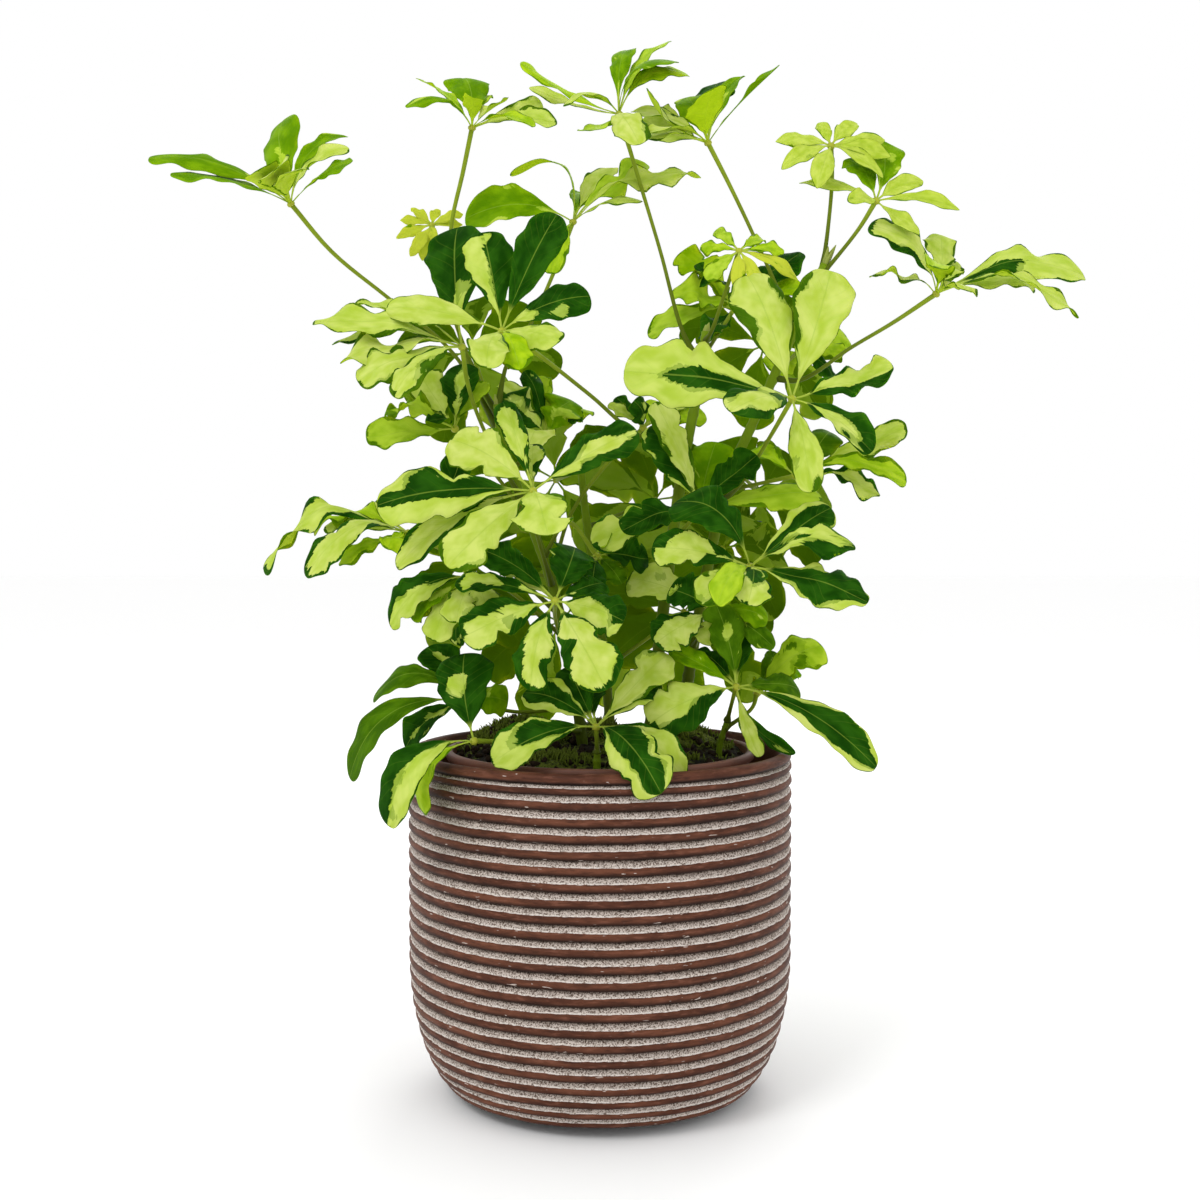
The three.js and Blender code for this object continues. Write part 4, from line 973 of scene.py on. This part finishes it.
def pot_piece():
    outside = pot_rows()
    rows = outside + [(r, z, CLAY_SHARE, 0) for r, z in POT_INSIDE]
    phases = np.random.default_rng(5).uniform(0, 6.28, (RIBS + 4, 4))

    def shape(radii, levels, turns):
        """The edges of each rib wander a little, the sand's upper and lower edges each in its own way."""
        for j, (_, _, share, rib) in enumerate(rows[1:-1]):
            if rib:
                mix = min(1.0, share / SAND_TO)
                above, below = [0.2 * np.sin(2 * turns + p[0]) + 0.15 * np.sin(5 * turns + p[1])
                                + 0.12 * np.sin(11 * turns + p[2]) + 0.09 * np.sin(23 * turns + p[3])
                                for p in (phases[rib - 1], phases[rib])]
                levels[j] += 0.6 * (above * (1 - mix) + below * mix)
                size, rate = (0.2, 16) if share > SAND_TO else (0.34, 34)
                radii[j] += size * np.array([noise.noise(Vector((math.cos(a) * rate, math.sin(a) * rate,
                                                                 levels[j][0] * 0.5))) for a in turns])

    verts, faces = turned([row[:2] for row in rows], POT_TURNS, shape)
    place = [(row[2], 0, int(j >= len(outside) - 2), 1) for j, row in enumerate(rows[1:-1])
             for _ in range(POT_TURNS)] + [(HIDDEN_SHARE, 0, 0, 1), (CLAY_SHARE, 0, 1, 1)]
    piece = Piece("pot_ribbed")
    piece.add(CLAY, verts, faces, place)
    piece.done("cover_pot")


pot_piece()


# Nursery pot

NURSERY_TOP, NURSERY_R, NURSERY_FOOT, NURSERY_WALL = 170, 75, 58, 1.6
FLOOR = 8.3


def nursery_r(z):
    return NURSERY_FOOT + (NURSERY_R - NURSERY_FOOT) * (z - FLOOR) / (NURSERY_TOP - FLOOR)


lip = [(0, FLOOR), (NURSERY_FOOT - 1, FLOOR), (NURSERY_FOOT, FLOOR + 1), (nursery_r(90), 90),
       (nursery_r(164.4), 164.4), (nursery_r(165) + 0.6, 165), (76.2, 165.4), (76.6, 166), (76.6, 169.2),
       (76.1, 169.9), (75.2, 170), (74.2, 170), (73.5, 169.6), (73.3, 168.8),
       (nursery_r(155) - NURSERY_WALL, 155), (nursery_r(90) - NURSERY_WALL, 90),
       (nursery_r(10) - NURSERY_WALL, 9.9), (0, 9.9)]
piece = Piece("nursery_cup")
piece.add(PLASTIC, *turned(lip, 160))
piece.done("nursery_pot")


# Soil, moss and crumbs

# Where each mound lies, how far it spreads and its height
MOUNDS = [(-42, 28, 30, 13), (22, -34, 20, 3), (44, 24, 26, 9), (2, 32, 22, 8), (-20, -44, 18, 2.5)]
SOIL_GAP, SOIL_LEVEL, SOIL_FOOT, SOIL_SHOULDER = 2.3, 166, 10.3, 164
SOIL_R = nursery_r(SOIL_LEVEL) - SOIL_GAP
SOIL_TURNS, SOIL_RINGS = 168, 46
CRUMBS, TUFTS, TUFT_BLADES = 420, 330, 9


def soil_height(x, y):
    share = math.hypot(x, y) / NURSERY_R
    z = SOIL_LEVEL + 4.5 * (1 - share * share) + 0.8 * math.sin(0.21 * x + 1.3) * math.cos(0.17 * y + 0.6)
    for mx, my, spread, height in MOUNDS:
        near = math.hypot(x - mx, y - my) / spread
        z += height * math.exp(-near * near * 2)
    return z


def moss_share(x, y):
    near = max(math.exp(-(math.hypot(x - mx, y - my) / spread) ** 2) for mx, my, spread, _ in MOUNDS)
    return min(1.0, near * 0.8 + 0.5 * max(0.0, noise.noise(Vector((x * 0.06, y * 0.06, 3.1)))))


def crumble(radii, heights, turns):
    """Lumps on the soil's upper rings."""
    for j in range(len(radii)):
        if heights[j][0] == SOIL_LEVEL:
            for k, a in enumerate(turns):
                x, y = radii[j][k] * math.cos(a), radii[j][k] * math.sin(a)
                rough = noise.fractal(Vector((x * 0.16, y * 0.16, 0.3)), 1.0, 2.1, 4)
                heights[j][k] = soil_height(x, y) - 0.6 + 1.9 * rough


def soil_spot(rng):
    r, a = SOIL_R * math.sqrt(rng.uniform(0.02, 0.98)), rng.uniform(0, TURN)
    return r * math.cos(a), r * math.sin(a)


def soil_piece():
    piece = Piece("soil_top")
    rings = [(SOIL_R * (k / SOIL_RINGS), SOIL_LEVEL) for k in range(SOIL_RINGS, -1, -1)]
    profile = [(0, SOIL_FOOT), (nursery_r(SOIL_FOOT) - SOIL_GAP, SOIL_FOOT), (SOIL_R, SOIL_SHOULDER)] + rings
    verts, faces = turned(profile, SOIL_TURNS, crumble)
    verts[-1][2] = soil_height(0, 0)
    piece.add(EARTH, verts, faces, [(moss_share(x, y), 0, 0, 1) for x, y, _ in verts])
    rng = np.random.default_rng(11)
    for _ in range(CRUMBS):
        x, y = soil_spot(rng)
        size = rng.uniform(0.8, 2.6)
        centre = np.array([x, y, soil_height(x, y) + rng.uniform(-0.4, 0.6)])
        verts, faces = knob(centre, size, rng.normal(size=3), rng.uniform(0.4, 1.0), 4, 6)
        verts = [p + rng.normal(scale=size * 0.12, size=3) for p in verts]
        piece.add(CRUMB, verts, faces)
    tufts = 0
    while tufts < TUFTS:
        x, y = soil_spot(rng)
        if moss_share(x, y) < rng.uniform(0.15, 0.9):
            continue
        tufts += 1
        for _ in range(TUFT_BLADES):
            foot = np.array([x + rng.normal(scale=1.6), y + rng.normal(scale=1.6), 0])
            foot[2] = soil_height(foot[0], foot[1]) - 0.8
            lean = np.array([rng.normal(scale=1.3), rng.normal(scale=1.3), rng.uniform(2.2, 4.6)])
            path = [foot, foot + lean * 0.6 + [0, 0, 0.5], foot + lean]
            piece.add(MOSS, *tube(path, [0.45, 0.36, 0.1], 4))
    piece.done("soil")


soil_piece()

# Studio

FLOOR_HALF, FLOOR_DROP = 9, 0.0006  # metres
WHITE_PAPER = (0.99, 0.99, 0.988, 1)


def area(name, place, aim, size, power):
    lamp = bpy.data.lights.new(name, "AREA")
    lamp.shape, lamp.size, lamp.size_y, lamp.energy = "RECTANGLE", size, size, power
    ob = linked(name, lamp)
    ob.location = place
    ob.rotation_euler = (Vector(aim) - Vector(place)).to_track_quat("-Z", "Y").to_euler()


floor = bpy.data.meshes.new("floor")
floor.from_pydata([(FLOOR_HALF * x, FLOOR_HALF * y, 0) for x, y in ((-1, -1), (1, -1), (1, 1), (-1, 1))], [],
                  [(0, 1, 2, 3)])
floor.materials.append(Shader("floor_paper").finish(WHITE_PAPER, 0.9, 0.2))
ground = linked("floor", floor)
ground.location.z = -FLOOR_DROP

world = bpy.data.worlds.new("studio")
bpy.context.scene.world = world
world.use_nodes = True
world.node_tree.nodes["Background"].inputs["Color"].default_value = (1.0, 1.0, 1.0, 1)
bpy.context.scene.view_settings.view_transform = "Standard"

area("key", (-0.9, -1.2, 1.6), (0, 0, 0.3), 0.7, 12)
area("fill", (1.3, -1.2, 0.8), (0, 0, 0.25), 1.2, 3)
area("back", (0.4, 1.4, 1.3), (0, 0, 0.35), 1.0, 7)

camera = bpy.data.cameras.new("camera")
camera.sensor_width = 36
camera.lens = FOCAL / PHOTO_SIDE * camera.sensor_width
camera.clip_start, camera.clip_end = 0.01, 50
view = linked("camera", camera)
view.location = (0, -EYE_AWAY * MM, EYE_HIGH * MM)
view.rotation_euler = Euler((math.pi / 2 - EYE_TILT, 0, 0))
bpy.context.scene.camera = view
